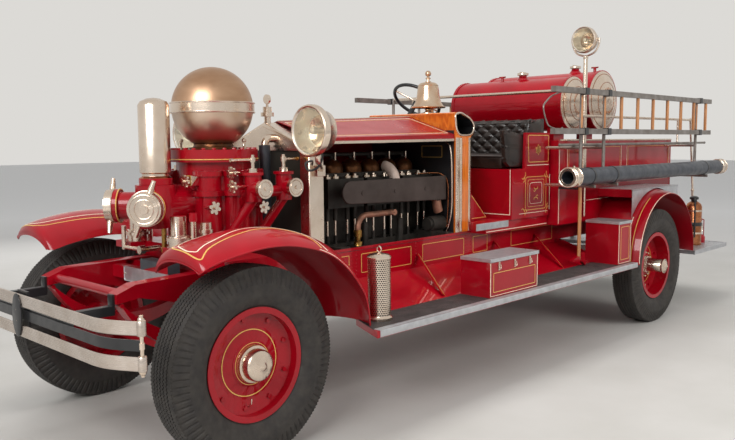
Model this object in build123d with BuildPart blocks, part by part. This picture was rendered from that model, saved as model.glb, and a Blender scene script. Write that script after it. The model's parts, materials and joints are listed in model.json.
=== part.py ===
from build123d import *
from math import asin, cos, sin, radians
import os

os.makedirs("parts", exist_ok=True)

# A front-pump fire engine of the 1920s, in millimetres: +X forward, +Y left, +Z up,
# ground at Z = 0, origin in the middle of the overall length.

# Overall sizes and axles
front_overhang = 870
wheelbase = 4577
rear_overhang = 1773
overall_length = front_overhang + wheelbase + rear_overhang
front_axle_x = overall_length / 2 - front_overhang
rear_axle_x = front_axle_x - wheelbase
tail_x = rear_axle_x - rear_overhang
fit = 0.3

# Wheels and tyres
tyre_radius = 530
tyre_width = 236
tread_width = 186
rim_radius = 309
bead_radius = 290
rim_width = 170
front_tyre_y = 842
rear_tyre_y = 1010
axle_z = tyre_radius
hub_cap_radius = 86
rear_cap_radius = 62
spring_half = 44

# Frame
frame_top = 970
rail_height = 180
rail_flange = 92
rail_web = 8
frame_half = 450
horn_tip_x = front_axle_x + 530
rail_front_x = front_axle_x + 30
rail_rear_x = rear_axle_x - 1180

# Running boards and boxes
board_outer = 1183
board_inner = 865
board_top = 630
board_thick = 40
board_front_x = front_axle_x - 660
board_rear_x = rear_axle_x + 587
apron_thick = 5
sill_top = 988
sill_thick = 6
sill_rear_x = front_axle_x - 3830
brace_xs = (front_axle_x - 1880, front_axle_x - 2860, front_axle_x - 3480)
box_wall = 4
lid_thick = 24

# Radiator, hood and body
radiator_x = front_axle_x - 810
radiator_depth = 120
radiator_half = 460
radiator_peak = 1835
hood_rear_x = front_axle_x - 2335
hood_half = 440
hood_crease = 1728
hood_crest = 1845
hood_rise = 55
hood_side_rise = 25
hood_sheet = 5
dash_depth = 200
dash_half = frame_half
floor_top = 1060
floor_half = 600
seat_front_x = front_axle_x - 2850
seat_depth = 570
seat_half = 630
seat_top = 1470
seat_back_top = 1901
cushion_height = 130
body_front_x = front_axle_x - 3450
body_rear_x = rear_axle_x - 1203
body_half = 700
body_floor = 1130
body_top = 1700
body_sheet = 5

# Fenders
fender_thick = 5
front_fender_inner = 600
front_fender_outer = 1075
rear_fender_outer = 1168
rear_arch_radius = 650
rear_arch_x = rear_axle_x - 93
rear_arch_z = 600

# Pump
pump_x = front_axle_x - 410
pump_radius = 235
pump_top = 1660
ball_radius = 255
ball_z = 1920
suction_x = front_axle_x + 10
suction_z = 1330
suction_radius = 82
face_x = front_axle_x - 120

# Ladders, hoses and lamps
ladder_y = body_half + 345
ladder_front_x = front_axle_x - 2760
ladder_rear_x = body_rear_x - 120
ladder_low = 1772
ladder_high = 2090
hose_y = body_half + 405
hose_z = 1415
hose_radius = 68
hose_ring = 74
hose_bore = 52
hose_front_x = front_axle_x - 2890
hose_rear_x = body_rear_x - 320
headlight_radius = 157


def rod(start, end, radius):
    # a round bar between two points
    start = Vector(*start)
    span = Vector(*end) - start
    bar = Cylinder(radius, span.length, align=(Align.CENTER, Align.CENTER, Align.MIN), mode=Mode.PRIVATE)
    return Plane(origin=start, z_dir=span) * bar


def block(x0, x1, y0, y1, z0, z1):
    # a box between two corners, in any order
    size = (abs(x1 - x0), abs(y1 - y0), abs(z1 - z0))
    return Pos((x0 + x1) / 2, (y0 + y1) / 2, (z0 + z1) / 2) * Box(*size, mode=Mode.PRIVATE)


def flat_bar(start, end, width, thick):
    # a flat bar between two points, its width along X
    start = Vector(*start)
    span = Vector(*end) - start
    bar = Box(width, thick, span.length, align=(Align.CENTER, Align.CENTER, Align.MIN), mode=Mode.PRIVATE)
    return Plane(origin=start, x_dir=(1, 0, -span.X / span.Z), z_dir=span) * bar


def side_plane(y):
    # the X-Z plane at this Y, its normal along -Y
    return Plane.XZ.offset(-y)


def deliver(piece, label):
    piece.part.label = label
    export_step(piece.part, f"parts/{label}.step")


# Frame: two channel rails with front horns, cross members and the front tube
front_member_x = radiator_x - radiator_depth / 2
gearbox_member_x = front_axle_x - 2680
member_half = 30
member_stations = [front_axle_x - 60, front_member_x, gearbox_member_x, front_axle_x - 3500,
                   rear_axle_x + 560, rear_axle_x - 480, rail_rear_x + member_half]
with BuildPart() as frame:
    for side in (1, -1):
        with BuildSketch(Plane.YZ.offset(rail_rear_x)):
            with Locations((side * (frame_half - rail_flange / 2), frame_top - rail_height / 2)):
                Rectangle(rail_flange, rail_height)
            with Locations((side * (frame_half - rail_web - rail_flange / 2), frame_top - rail_height / 2)):
                Rectangle(rail_flange, rail_height - 2 * rail_web, mode=Mode.SUBTRACT)
        extrude(amount=rail_front_x - rail_rear_x)
        with BuildSketch(side_plane(side * (frame_half - rail_flange / 2))):
            with BuildLine():
                Polyline(
                    (rail_front_x, frame_top),
                    (horn_tip_x - 110, frame_top - 10),
                    (horn_tip_x, frame_top - 50),
                    (horn_tip_x, frame_top - 100),
                    (horn_tip_x - 130, frame_top - 85),
                    (rail_front_x, frame_top - rail_height),
                    close=True,
                )
            make_face()
        extrude(amount=rail_flange / 2, both=True)
    for station in member_stations:
        inner = frame_half - rail_web
        add(block(station - member_half, station + member_half, -inner, inner,
                  frame_top - rail_height + 10, frame_top - 10))
    add(rod((horn_tip_x - 60, -frame_half + 10, frame_top - 65), (horn_tip_x - 60, frame_half - 10, frame_top - 65), 26))
    # flat cross member between the horns, with a small closed box standing on it
    add(block(rail_front_x + 20, rail_front_x + 90, -frame_half + rail_flange - 4, frame_half - rail_flange + 4,
              frame_top - 96, frame_top - 20))
    add(block(rail_front_x + 12, rail_front_x + 92, -20, 280, frame_top - 22, frame_top + 46))
deliver(frame, "frame")

# Front axle: drop-forged beam with a boss at each king pin, and the two leaf springs on it
king_y = 655
king_radius = 34
pin_radius = 15
boss_half = 40
beam_width = 62
spring_y = frame_half - rail_flange / 2
with BuildPart() as front_axle:
    with BuildSketch(Plane.YZ.offset(front_axle_x - beam_width / 2)):
        with BuildLine():
            Polyline(
                (-king_y, axle_z - boss_half),
                (-king_y + 70, axle_z - boss_half),
                (-king_y + 150, axle_z - 75),
                (king_y - 150, axle_z - 75),
                (king_y - 70, axle_z - boss_half),
                (king_y, axle_z - boss_half),
                (king_y, axle_z + boss_half),
                (king_y - 70, axle_z + boss_half),
                (king_y - 150, axle_z + 5),
                (-king_y + 150, axle_z + 5),
                (-king_y + 70, axle_z + boss_half),
                (-king_y, axle_z + boss_half),
                close=True,
            )
        make_face()
    extrude(amount=beam_width)
    for side in (1, -1):
        with Locations((front_axle_x, side * king_y, axle_z)):
            Cylinder(king_radius, 2 * boss_half)
        with BuildSketch(side_plane(side * spring_y)):
            with BuildLine():
                upper = ThreePointArc(
                    (horn_tip_x - 30, frame_top - 106),
                    (front_axle_x, axle_z + 95),
                    (front_axle_x - 500, frame_top - rail_height - 20),
                )
                Line(upper @ 1, upper @ 1 + Vector(0, -14))
                lower = ThreePointArc(
                    upper @ 1 + Vector(0, -14),
                    (front_axle_x, axle_z + 4),
                    (horn_tip_x - 30, frame_top - 120),
                )
                Line(lower @ 1, upper @ 0)
            make_face()
        extrude(amount=spring_half, both=True)
        add(block(front_axle_x - 520, front_axle_x - 470, side * spring_y - spring_half, side * spring_y + spring_half,
                  frame_top - rail_height - 36, frame_top - rail_height))
        add(rod((horn_tip_x - 30, side * spring_y - spring_half, frame_top - 113),
                (horn_tip_x - 30, side * spring_y + spring_half, frame_top - 113), 12))
    for side in (1, -1):
        with Locations((front_axle_x, side * king_y, axle_z)):
            Cylinder(pin_radius + 0.5, 2 * boss_half + 20, mode=Mode.SUBTRACT)
deliver(front_axle, "front_axle")

# Steering knuckles: a fork over the axle boss, a pin through it, the stub axle and the arm
stub_radius = 27
stub_end = 100
fork_web = 45
arm_reach = 170
for name, side in (("left", 1), ("right", -1)):
    with BuildPart() as knuckle:
        for level in (1, -1):
            with Locations((front_axle_x, side * king_y, axle_z + level * (boss_half + 22))):
                Cylinder(king_radius, 28)
            add(block(front_axle_x - 28, front_axle_x + 28, side * king_y, side * (king_y + fork_web + 18),
                      axle_z + level * (boss_half + 8), axle_z + level * (boss_half + 36)))
        add(block(front_axle_x - 28, front_axle_x + 28, side * (king_y + fork_web), side * (king_y + fork_web + 18),
                  axle_z - boss_half - 36, axle_z + boss_half + 36))
        with Locations((front_axle_x, side * king_y, axle_z)):
            Cylinder(pin_radius, 2 * boss_half + 60)
        add(rod((front_axle_x, side * (king_y + fork_web), axle_z),
                (front_axle_x, side * (front_tyre_y + stub_end), axle_z), stub_radius))
        add(block(front_axle_x - arm_reach, front_axle_x, side * king_y - 12, side * king_y + 12,
                  axle_z - boss_half - 34, axle_z - boss_half - 12))
    deliver(knuckle, f"{name}_knuckle")

# Tie rod under the ends of the two arms
tie_radius = 12
tie_x = front_axle_x - arm_reach + 16
tie_half = 18
tie_z = axle_z - boss_half - 34 - 0.8 - tie_half
with BuildPart() as tie_rod:
    add(rod((tie_x, -king_y, tie_z), (tie_x, king_y, tie_z), tie_radius))
    for side in (1, -1):
        add(rod((tie_x, side * king_y, tie_z - tie_half), (tie_x, side * king_y, tie_z + tie_half), 20))
deliver(tie_rod, "tie_rod")

# Wheels: pressed disc, rim and hub; the tyre seats on the rim
wheel_table = [
    # name, axle x, centre y, side, disc offset, hub reach, cap radius
    ("front_left", front_axle_x, front_tyre_y, 1, 28, 150, hub_cap_radius),
    ("front_right", front_axle_x, -front_tyre_y, -1, 28, 150, hub_cap_radius),
    ("rear_left", rear_axle_x, rear_tyre_y, 1, -35, 195, rear_cap_radius),
    ("rear_right", rear_axle_x, -rear_tyre_y, -1, -35, 195, rear_cap_radius),
]
for name, x, y, side, disc, reach, cap in wheel_table:
    front = name.startswith("front")
    with BuildPart() as wheel:
        with BuildSketch(Plane.XY):
            with BuildLine():
                half = rim_width / 2
                Polyline(
                    (bead_radius - 14, -half),
                    (rim_radius, -half),
                    (rim_radius, -half + 8),
                    (bead_radius, -half + 12),
                    (bead_radius, half - 12),
                    (rim_radius, half - 8),
                    (rim_radius, half),
                    (bead_radius - 14, half),
                    (bead_radius - 14, disc + 8),
                    (200, disc - 14),
                    (120, disc + 10),
                    (120, disc - 2),
                    (200, disc - 24),
                    (bead_radius - 14, disc - 4),
                    close=True,
                )
            make_face()
        revolve(axis=Axis.Y)
        with BuildSketch(Plane.XY):
            with BuildLine():
                Polyline(
                    (stub_radius + fit, -62),
                    (95, -62),
                    (95, disc - 2),
                    (125, disc - 2),
                    (125, disc + 12),
                    (cap + 18, disc + 22),
                    (cap + 14, disc + 40),
                    (cap, disc + 42),
                    (cap, reach - 40),
                    (cap - 8, reach - 28),
                    (cap * 0.62, reach - 20),
                    (cap * 0.34, reach - 16),
                    (cap * 0.1, reach),
                    (0, reach),
                    (0, reach - 50),
                    (stub_radius + fit, reach - 50),
                    close=True,
                )
            make_face()
        revolve(axis=Axis.Y)
        # nine bosses where the disc is held to the rim
        for number in range(9):
            turn = radians(number * 40)
            add(rod((243 * cos(turn), disc - 12, 243 * sin(turn)), (243 * cos(turn), disc + 9, 243 * sin(turn)), 13))
        if not front:
            with BuildSketch(Plane.XY):
                with BuildLine():
                    Polyline((90, -62), (235, -62), (235, -150), (222, -150), (222, -76), (90, -76), close=True)
                make_face()
            revolve(axis=Axis.Y)
    turned = wheel.part if side > 0 else mirror(wheel.part, about=Plane.XZ)
    with BuildPart() as placed:
        add(Pos(x, y, axle_z) * turned)
    deliver(placed, f"{name}_wheel")
    with BuildPart() as tyre:
        with BuildSketch(Plane.XY):
            with BuildLine():
                bead = rim_width / 2 - 12 - 2 * fit
                Polyline(
                    (bead_radius + fit, -bead),
                    (rim_radius + 3, -bead - 3),
                    (rim_radius + 17, -bead - 17),
                    (rim_radius + 95, -tyre_width / 2),
                    (tyre_radius - 72, -tyre_width / 2 + 6),
                    (tyre_radius - 26, -tread_width / 2 - 8),
                    (tyre_radius - 8, -tread_width / 2),
                    (tyre_radius, -tread_width / 4),
                    (tyre_radius, tread_width / 4),
                    (tyre_radius - 8, tread_width / 2),
                    (tyre_radius - 26, tread_width / 2 + 8),
                    (tyre_radius - 72, tyre_width / 2 - 6),
                    (rim_radius + 95, tyre_width / 2),
                    (rim_radius + 17, bead + 17),
                    (rim_radius + 3, bead + 3),
                    (bead_radius + fit, bead),
                    close=True,
                )
            make_face()
        revolve(axis=Axis.Y)
    with BuildPart() as placed:
        add(Pos(x, y, axle_z) * tyre.part)
    deliver(placed, f"{name}_tyre")

gearbox_rear_x = front_axle_x - 2620
gearbox_z = 760

# Rear axle: housing, final drive, stub ends, leaf springs and the torque tube
with BuildPart() as rear_axle:
    housing = rear_tyre_y - 175
    add(rod((rear_axle_x, -housing, axle_z), (rear_axle_x, housing, axle_z), 55))
    for side in (1, -1):
        add(rod((rear_axle_x, side * housing, axle_z), (rear_axle_x, side * (rear_tyre_y + 80), axle_z), stub_radius))
    with Locations((rear_axle_x, 0, axle_z)):
        Sphere(180)
    add(rod((rear_axle_x, 0, axle_z), (gearbox_rear_x - 12, 0, gearbox_z), 42))
    for side in (1, -1):
        with BuildSketch(side_plane(side * spring_y)):
            with BuildLine():
                upper = ThreePointArc(
                    (rear_axle_x + 680, frame_top - rail_height - 26),
                    (rear_axle_x, axle_z + 150),
                    (rear_axle_x - 680, frame_top - rail_height - 26),
                )
                Line(upper @ 1, upper @ 1 + Vector(0, -16))
                lower = ThreePointArc(
                    upper @ 1 + Vector(0, -16),
                    (rear_axle_x, axle_z + 40),
                    (rear_axle_x + 680, frame_top - rail_height - 42),
                )
                Line(lower @ 1, upper @ 0)
            make_face()
        extrude(amount=spring_half, both=True)
        for end in (1, -1):
            add(block(rear_axle_x + end * 650, rear_axle_x + end * 700,
                      side * spring_y - spring_half, side * spring_y + spring_half,
                      frame_top - rail_height - 40, frame_top - rail_height))
deliver(rear_axle, "rear_axle")

# Bumper: two flat bars swept round at the ends, with tie bolts and the centre clamp
bumper_front_x = overall_length / 2
bumper_straight = 900
bumper_end_y = 1085
bumper_end_x = bumper_front_x - 120
bar_height = 66
bar_thick = 12
bar_levels = [885, 723]
with BuildPart() as bumper:
    for level in bar_levels:
        with BuildSketch(Plane.XY.offset(level - bar_height / 2)):
            with BuildLine():
                for side in (1, -1):
                    Line((bumper_front_x, 0), (bumper_front_x, side * bumper_straight))
                    Line((bumper_front_x, side * bumper_straight), (bumper_end_x, side * bumper_end_y))
                    Line((bumper_end_x, side * bumper_end_y), (bumper_end_x - bar_thick, side * bumper_end_y))
                    Line((bumper_end_x - bar_thick, side * bumper_end_y),
                         (bumper_front_x - bar_thick, side * (bumper_straight - 5)))
                Line((bumper_front_x - bar_thick, bumper_straight - 5),
                     (bumper_front_x - bar_thick, -bumper_straight + 5))
            make_face()
        extrude(amount=bar_height)
    for side in (1, -1):
        bolt_x = bumper_end_x + 12
        bolt_y = side * (bumper_end_y - 30)
        add(rod((bolt_x, bolt_y, bar_levels[1] - 62), (bolt_x, bolt_y, bar_levels[0] + 62), 13))
    add(block(bumper_front_x - 40, bumper_front_x - bar_thick + 2, -60, 60,
              bar_levels[1] - 45, bar_levels[0] + 45))
deliver(bumper, "front_bumper")

# Bumper carrier: dark back bar and two arms to the horns
carrier_x = bumper_front_x - 40
with BuildPart() as carrier:
    add(block(carrier_x - 14, carrier_x, -560, 560, bar_levels[1] + 48, bar_levels[0] - 48))
    add(block(carrier_x - 14, carrier_x, -60, 60, bar_levels[1] - 45, bar_levels[0] + 45))
    for side in (1, -1):
        add(block(horn_tip_x, carrier_x, side * (spring_y - 24), side * (spring_y + 24),
                  frame_top - 160, frame_top - 110))
        add(block(horn_tip_x, horn_tip_x + 16, side * (spring_y - 24), side * (spring_y + 24),
                  frame_top - 160, frame_top - 50))
deliver(carrier, "bumper_carrier")

# Pump: cylinders round a middle drum under a bolted top, on a base across the rails
handwheels = [
    # centre x from the front axle, y, z, then the stem's run in x and y
    (-92, 155, 1474, -60, 0),
    (-266, 385, 1440, -130, 0),
    (-323, 300, 1519, -90, 0),
    (-196, 300, 1316, 0, -110),
    (-544, 330, 1301, 0, -120),
]
pump_fittings = [
    # x from the front axle, y, low z, high z, radius
    (-33, 318, 1098, 1262, 17),
    (-33, 318, 1250, 1300, 24),
    (-111, 330, 1098, 1240, 34),
    (-111, 330, 1180, 1200, 42),
    (12, 236, 1098, 1168, 62),
    (12, 236, 1138, 1156, 74),
    (12, 236, 1168, 1280, 48),
]
with BuildPart() as pump:
    add(block(pump_x - 250, pump_x + 260, -frame_half, frame_half, frame_top, frame_top + 40))
    add(block(pump_x - 230, pump_x + 400, -300, 300, frame_top + 40, frame_top + 130))
    add(rod((pump_x, 0, frame_top + 40), (pump_x, 0, pump_top - 70), pump_radius))
    add(rod((pump_x, 0, pump_top - 75), (pump_x, 0, pump_top), 278))
    for angle in (45, 90, 135, 225, 270, 315):
        reach = pump_radius - 15
        px = pump_x + reach * cos(radians(angle))
        py = reach * sin(radians(angle))
        add(rod((px, py, frame_top + 130), (px, py, 1500), 82))
        add(rod((px, py, 1380), (px, py, 1412), 98))
        add(rod((px, py, 1500), (px, py, 1530), 92))
    add(rod((pump_x, 0, suction_z), (face_x, 0, suction_z), 120))
    for side in (1, -1):
        for valve in (-10, -250):
            vx = pump_x + valve
            vy = side * 385
            add(rod((vx, vy, 1345), (vx, vy, 1505), 50))
            add(rod((vx, vy, 1505), (vx, vy, 1522), 64))
            add(rod((vx, vy, 1522), (vx, vy, 1600), 12))
            add(rod((vx, vy, 1425), (vx, side * 480, 1425), 46))
            add(rod((vx, side * 480, 1425), (vx, side * 505, 1425), 58))
        add(rod((pump_x - 30, side * 382, 1402), (pump_x - 230, side * 382, 1402), 34))
        add(rod((pump_x - 12, side * 380, 1390), (pump_x - 12, side * 200, 1300), 44))
        for valve_x in (pump_x - 250, pump_x - 10):
            add(rod((valve_x, side * 385, 1360), (valve_x + 130, side * 230, frame_top + 90), 30))
        # valve stems: nut, acorn and bar lever, fore on the first and aft on the second
        details = []
        for valve, reach in ((-10, 165), (-250, -120)):
            vx = pump_x + valve
            vy = side * 385
            details.append(rod((vx, vy, 1522), (vx, vy, 1546), 26))
            details.append(rod((vx, vy, 1584), (vx, vy, 1612), 18))
            details.append(rod((vx, vy, 1612), (vx, vy, 1628), 11))
            details.append(rod((vx, vy, 1598), (vx + reach, vy, 1598), 7))
            details.append(rod((vx + reach * 0.9, vy, 1598), (vx + reach, vy, 1598), 11))
        # star handwheels on their stems
        for hx, hy, hz, stem_x, stem_y in handwheels:
            hub = Vector(front_axle_x + hx, side * hy, hz)
            way = Vector(stem_x, side * stem_y, 0)
            out = way.normalized() * -1
            across = out.cross(Vector(0, 0, 1))
            details.append(rod(tuple(hub - out * 6), tuple(hub + out * 6), 27))
            details.append(rod(tuple(hub + way), tuple(hub + out * 20), 9))
            for lobe in range(6):
                turn = radians(60 * lobe + 15)
                centre = hub + across * (30 * cos(turn)) + Vector(0, 0, 30 * sin(turn))
                details.append(rod(tuple(centre - out * 7), tuple(centre + out * 7), 11))
        # drain and relief fittings on the tray ahead of the cylinders
        details.append(block(front_axle_x - 160, front_axle_x + 90, side * 180, side * 360,
                             frame_top + 90, frame_top + 130))
        for fx, fy, z0, z1, radius in pump_fittings:
            details.append(rod((front_axle_x + fx, side * fy, z0), (front_axle_x + fx, side * fy, z1), radius))
        details.append(block(front_axle_x - 190, front_axle_x - 120, side * 130, side * 178, 1447, 1508))
        add(details)
deliver(pump, "pump_body")

# Air chamber: copper-and-nickel ball with its equator band and neck
with BuildPart() as ball:
    with BuildSketch(Plane.XZ):
        with BuildLine():
            Polyline((0, pump_top), (150, pump_top), (150, pump_top + 14), (128, pump_top + 16), (120, ball_z - 222))
            Line((120, ball_z - 222), (0, ball_z - 222))
            Line((0, ball_z - 222), (0, pump_top))
        make_face()
    revolve(axis=Axis.Z)
    with Locations((0, 0, ball_z)):
        Sphere(ball_radius)
        Cylinder(ball_radius + 7, 62)
with BuildPart() as air_chamber:
    add(Pos(pump_x, 0, 0) * ball.part)
deliver(air_chamber, "air_chamber")

# Suction manifold: chamber with two inlets pointing forward and outward, each capped
with BuildPart() as manifold:
    add(rod((face_x, 0, suction_z), (suction_x, 0, suction_z), 120))
    add(rod((suction_x, 0, suction_z - 130), (suction_x, 0, suction_z + 125), 122))
    for side in (1, -1):
        way = Vector(cos(radians(45)), side * sin(radians(45)), 0)
        centre = Vector(suction_x, 0, suction_z)
        add(rod(tuple(centre), tuple(centre + way * 250), suction_radius))
        add(rod(tuple(centre + way * 212), tuple(centre + way * 250), 100))
        add(rod(tuple(centre + way * 250), tuple(centre + way * 292), 97))
        for ear in (1, -1):
            lug = Vector(-sin(radians(45)) * 0.34, side * cos(radians(45)) * 0.34, 0.94) * ear
            root = centre + way * 270 + lug * 70
            ear_bar = Cone(22, 12, 100, align=(Align.CENTER, Align.CENTER, Align.MIN), mode=Mode.PRIVATE)
            add(Plane(origin=root, z_dir=lug) * ear_bar)
        add(rod(tuple(centre + way * 292), tuple(centre + way * 306), 26))
    # drain pipe from the chamber to the frame
    add(rod((suction_x + 20, 105, 1060), (suction_x + 20, 105, 1212), 15))
    add(rod((suction_x + 20, 105, 1060), (suction_x + 20, 105, 1086), 21))
deliver(manifold, "suction_manifold")

# Starting crank: shaft from the pump base, arm and grip
crank_z = 1072
with BuildPart() as crank:
    add(rod((pump_x + 400 + fit, 0, crank_z), (front_axle_x + 128, 0, crank_z), 16))
    add(rod((front_axle_x + 104, 0, crank_z), (front_axle_x + 138, 0, crank_z), 25))
    add(rod((front_axle_x + 120, 0, crank_z), (front_axle_x + 120, -205, crank_z), 12))
    add(rod((front_axle_x + 120, -205, crank_z - 14), (front_axle_x + 120, -205, crank_z + 130), 14))
deliver(crank, "starting_crank")

# Suction air chamber: upright cylinder on the manifold
with BuildPart() as bottle:
    base = suction_z + 125
    with BuildSketch(Plane.XZ):
        with BuildLine():
            Polyline((0, base), (98, base), (98, base + 40), (80, base + 52), (80, base + 66), (92, base + 72),
                     (92, 1925), (78, 1948), (40, 1965), (0, 1970), close=True)
        make_face()
    revolve(axis=Axis.Z)
with BuildPart() as suction_chamber:
    add(Pos(suction_x, 0, 0) * bottle.part)
deliver(suction_chamber, "suction_air_chamber")

# Radiator: nickel shell round a dark core
shell_outline = [(-radiator_half, frame_top), (radiator_half, frame_top), (radiator_half, 1655),
                 (radiator_half - 30, 1672), (0, radiator_peak), (-radiator_half + 30, 1672), (-radiator_half, 1655)]
panel_thick = 8
panel_outline = [(-radiator_half + 70, 1668), (radiator_half - 70, 1668), (radiator_half - 70, 1678),
                 (0, radiator_peak - 26), (-radiator_half + 70, 1678)]
core_half = radiator_half - 88
core_bottom = frame_top + 55
core_top = 1648
with BuildPart() as shell:
    with BuildSketch(Plane.YZ.offset(radiator_x - radiator_depth)):
        Polygon(*shell_outline, align=None)
    extrude(amount=radiator_depth)
    fillet(shell.faces().sort_by(Axis.X)[-1].edges(), radius=14)
    add(block(radiator_x - radiator_depth - 1, radiator_x + 1, -core_half, core_half, core_bottom, core_top),
        mode=Mode.SUBTRACT)
    # raised panel on the upper tank
    with BuildSketch(Plane.YZ.offset(radiator_x - 1)):
        Polygon(*panel_outline, align=None)
    extrude(amount=panel_thick + 1)
    cap_x = radiator_x - 40
    add(rod((cap_x, 0, radiator_peak - 20), (cap_x, 0, radiator_peak + 60), 22))
    add(rod((cap_x, 0, radiator_peak + 40), (cap_x, 0, radiator_peak + 66), 44))
    add(rod((cap_x, 0, radiator_peak + 66), (cap_x, 0, radiator_peak + 104), 30))
    add(rod((cap_x, 0, radiator_peak + 104), (cap_x, 0, radiator_peak + 125), 9))
    add(rod((cap_x - 8, 0, radiator_peak + 155), (cap_x + 8, 0, radiator_peak + 155), 32))
deliver(shell, "radiator_shell")

with BuildPart() as core:
    add(block(radiator_x - radiator_depth + 15, radiator_x - 15, -core_half + fit, core_half - fit,
              core_bottom, core_top))
deliver(core, "radiator_core")

# Hose from the pump water jacket to the radiator, with an elbow at each end
pipe_x = radiator_x + 70
pipe_y = 100
with BuildPart() as water_hose:
    for level, turn in ((1728, -1), (996, 1)):
        face = radiator_x + fit + (panel_thick if turn < 0 else 0)
        with BuildLine() as bend:
            Line((face, pipe_y, level), (pipe_x - 45, pipe_y, level))
            TangentArc((pipe_x - 45, pipe_y, level), (pipe_x, pipe_y, level + turn * 45), tangent=(1, 0, 0))
        with BuildSketch(Plane(origin=(face, pipe_y, level), z_dir=(1, 0, 0))):
            Circle(27)
        sweep(path=bend.line)
    add(rod((pipe_x, pipe_y, 1040), (pipe_x, pipe_y, 1684), 37))
deliver(water_hose, "radiator_hose")

# Headlights on posts at the radiator shoulders
for name, side in (("left", 1), ("right", -1)):
    lamp_x = radiator_x + 130
    lamp_y = side * 660
    lamp_z = 1769
    with BuildPart() as headlight:
        with BuildSketch(Plane.XY):
            with BuildLine():
                Polyline((0, 60), (headlight_radius - 12, 60), (headlight_radius, 52), (headlight_radius, 22),
                         (headlight_radius - 16, 10), (headlight_radius - 30, -70), (70, -105), (0, -112),
                         close=True)
            make_face()
        revolve(axis=Axis.Y)
    with BuildPart() as placed:
        add(Pos(lamp_x, lamp_y, lamp_z) * (Rot(0, 0, -90) * headlight.part))
        add(rod((lamp_x - 20, lamp_y, lamp_z - 110), (lamp_x - 20, lamp_y, lamp_z - 190), 18))
        add(rod((lamp_x - 20, lamp_y, lamp_z - 182), (radiator_x - 60, side * (radiator_half + 40), lamp_z - 240), 16))
        add(block(radiator_x - 95, radiator_x - 25, side * radiator_half, side * (radiator_half + 50),
                  lamp_z - 285, lamp_z - 215))
    deliver(placed, f"{name}_headlight")

# The cowl face leans forward from the break to its tip
cowl_break = 1785
cowl_tip_x = hood_rear_x + 20
cowl_tip_z = 1915

# Hood: gabled roof sheet between radiator and dash
hood_front_x = radiator_x - radiator_depth
with BuildPart() as hood:
    with BuildSketch(Plane.YZ.offset(hood_rear_x)):
        with BuildLine():
            Polyline(
                (-hood_half, hood_crease - 42 + hood_side_rise),
                (-hood_half, hood_crease + hood_side_rise),
                (0, hood_crest + hood_rise),
                (hood_half, hood_crease + hood_side_rise),
                (hood_half, hood_crease - 42 + hood_side_rise),
                (hood_half - hood_sheet, hood_crease - 42 + hood_side_rise),
                (hood_half - hood_sheet, hood_crease + hood_side_rise - hood_sheet),
                (0, hood_crest + hood_rise - hood_sheet - 1),
                (-hood_half + hood_sheet, hood_crease + hood_side_rise - hood_sheet),
                (-hood_half + hood_sheet, hood_crease - 42 + hood_side_rise),
                close=True,
            )
        make_face()
    with BuildSketch(Plane.YZ.offset(hood_front_x)):
        with BuildLine():
            Polyline(
                (-hood_half, hood_crease - 42),
                (-hood_half, hood_crease),
                (0, hood_crest),
                (hood_half, hood_crease),
                (hood_half, hood_crease - 42),
                (hood_half - hood_sheet, hood_crease - 42),
                (hood_half - hood_sheet, hood_crease - hood_sheet),
                (0, hood_crest - hood_sheet - 1),
                (-hood_half + hood_sheet, hood_crease - hood_sheet),
                (-hood_half + hood_sheet, hood_crease - 42),
                close=True,
            )
        make_face()
    loft(ruled=True)
    with BuildSketch(side_plane(0)):
        Polygon((hood_rear_x - 2, cowl_break), (hood_rear_x + fit, cowl_break), (cowl_tip_x + fit, cowl_tip_z),
                (cowl_tip_x + fit, cowl_tip_z + 60), (hood_rear_x - 2, cowl_tip_z + 60), align=None)
    extrude(amount=hood_half + 10, both=True, mode=Mode.SUBTRACT)
    # the right side is closed by a panel down to the frame, the left one is lifted off
    with BuildSketch(side_plane(-hood_half)):
        Polygon((hood_rear_x, frame_top + 30), (hood_front_x, frame_top + 30), (hood_front_x, hood_crease - 30),
                (hood_rear_x, hood_crease - 30 + hood_side_rise), align=None)
    extrude(amount=-hood_sheet)
deliver(hood, "hood")

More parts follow.
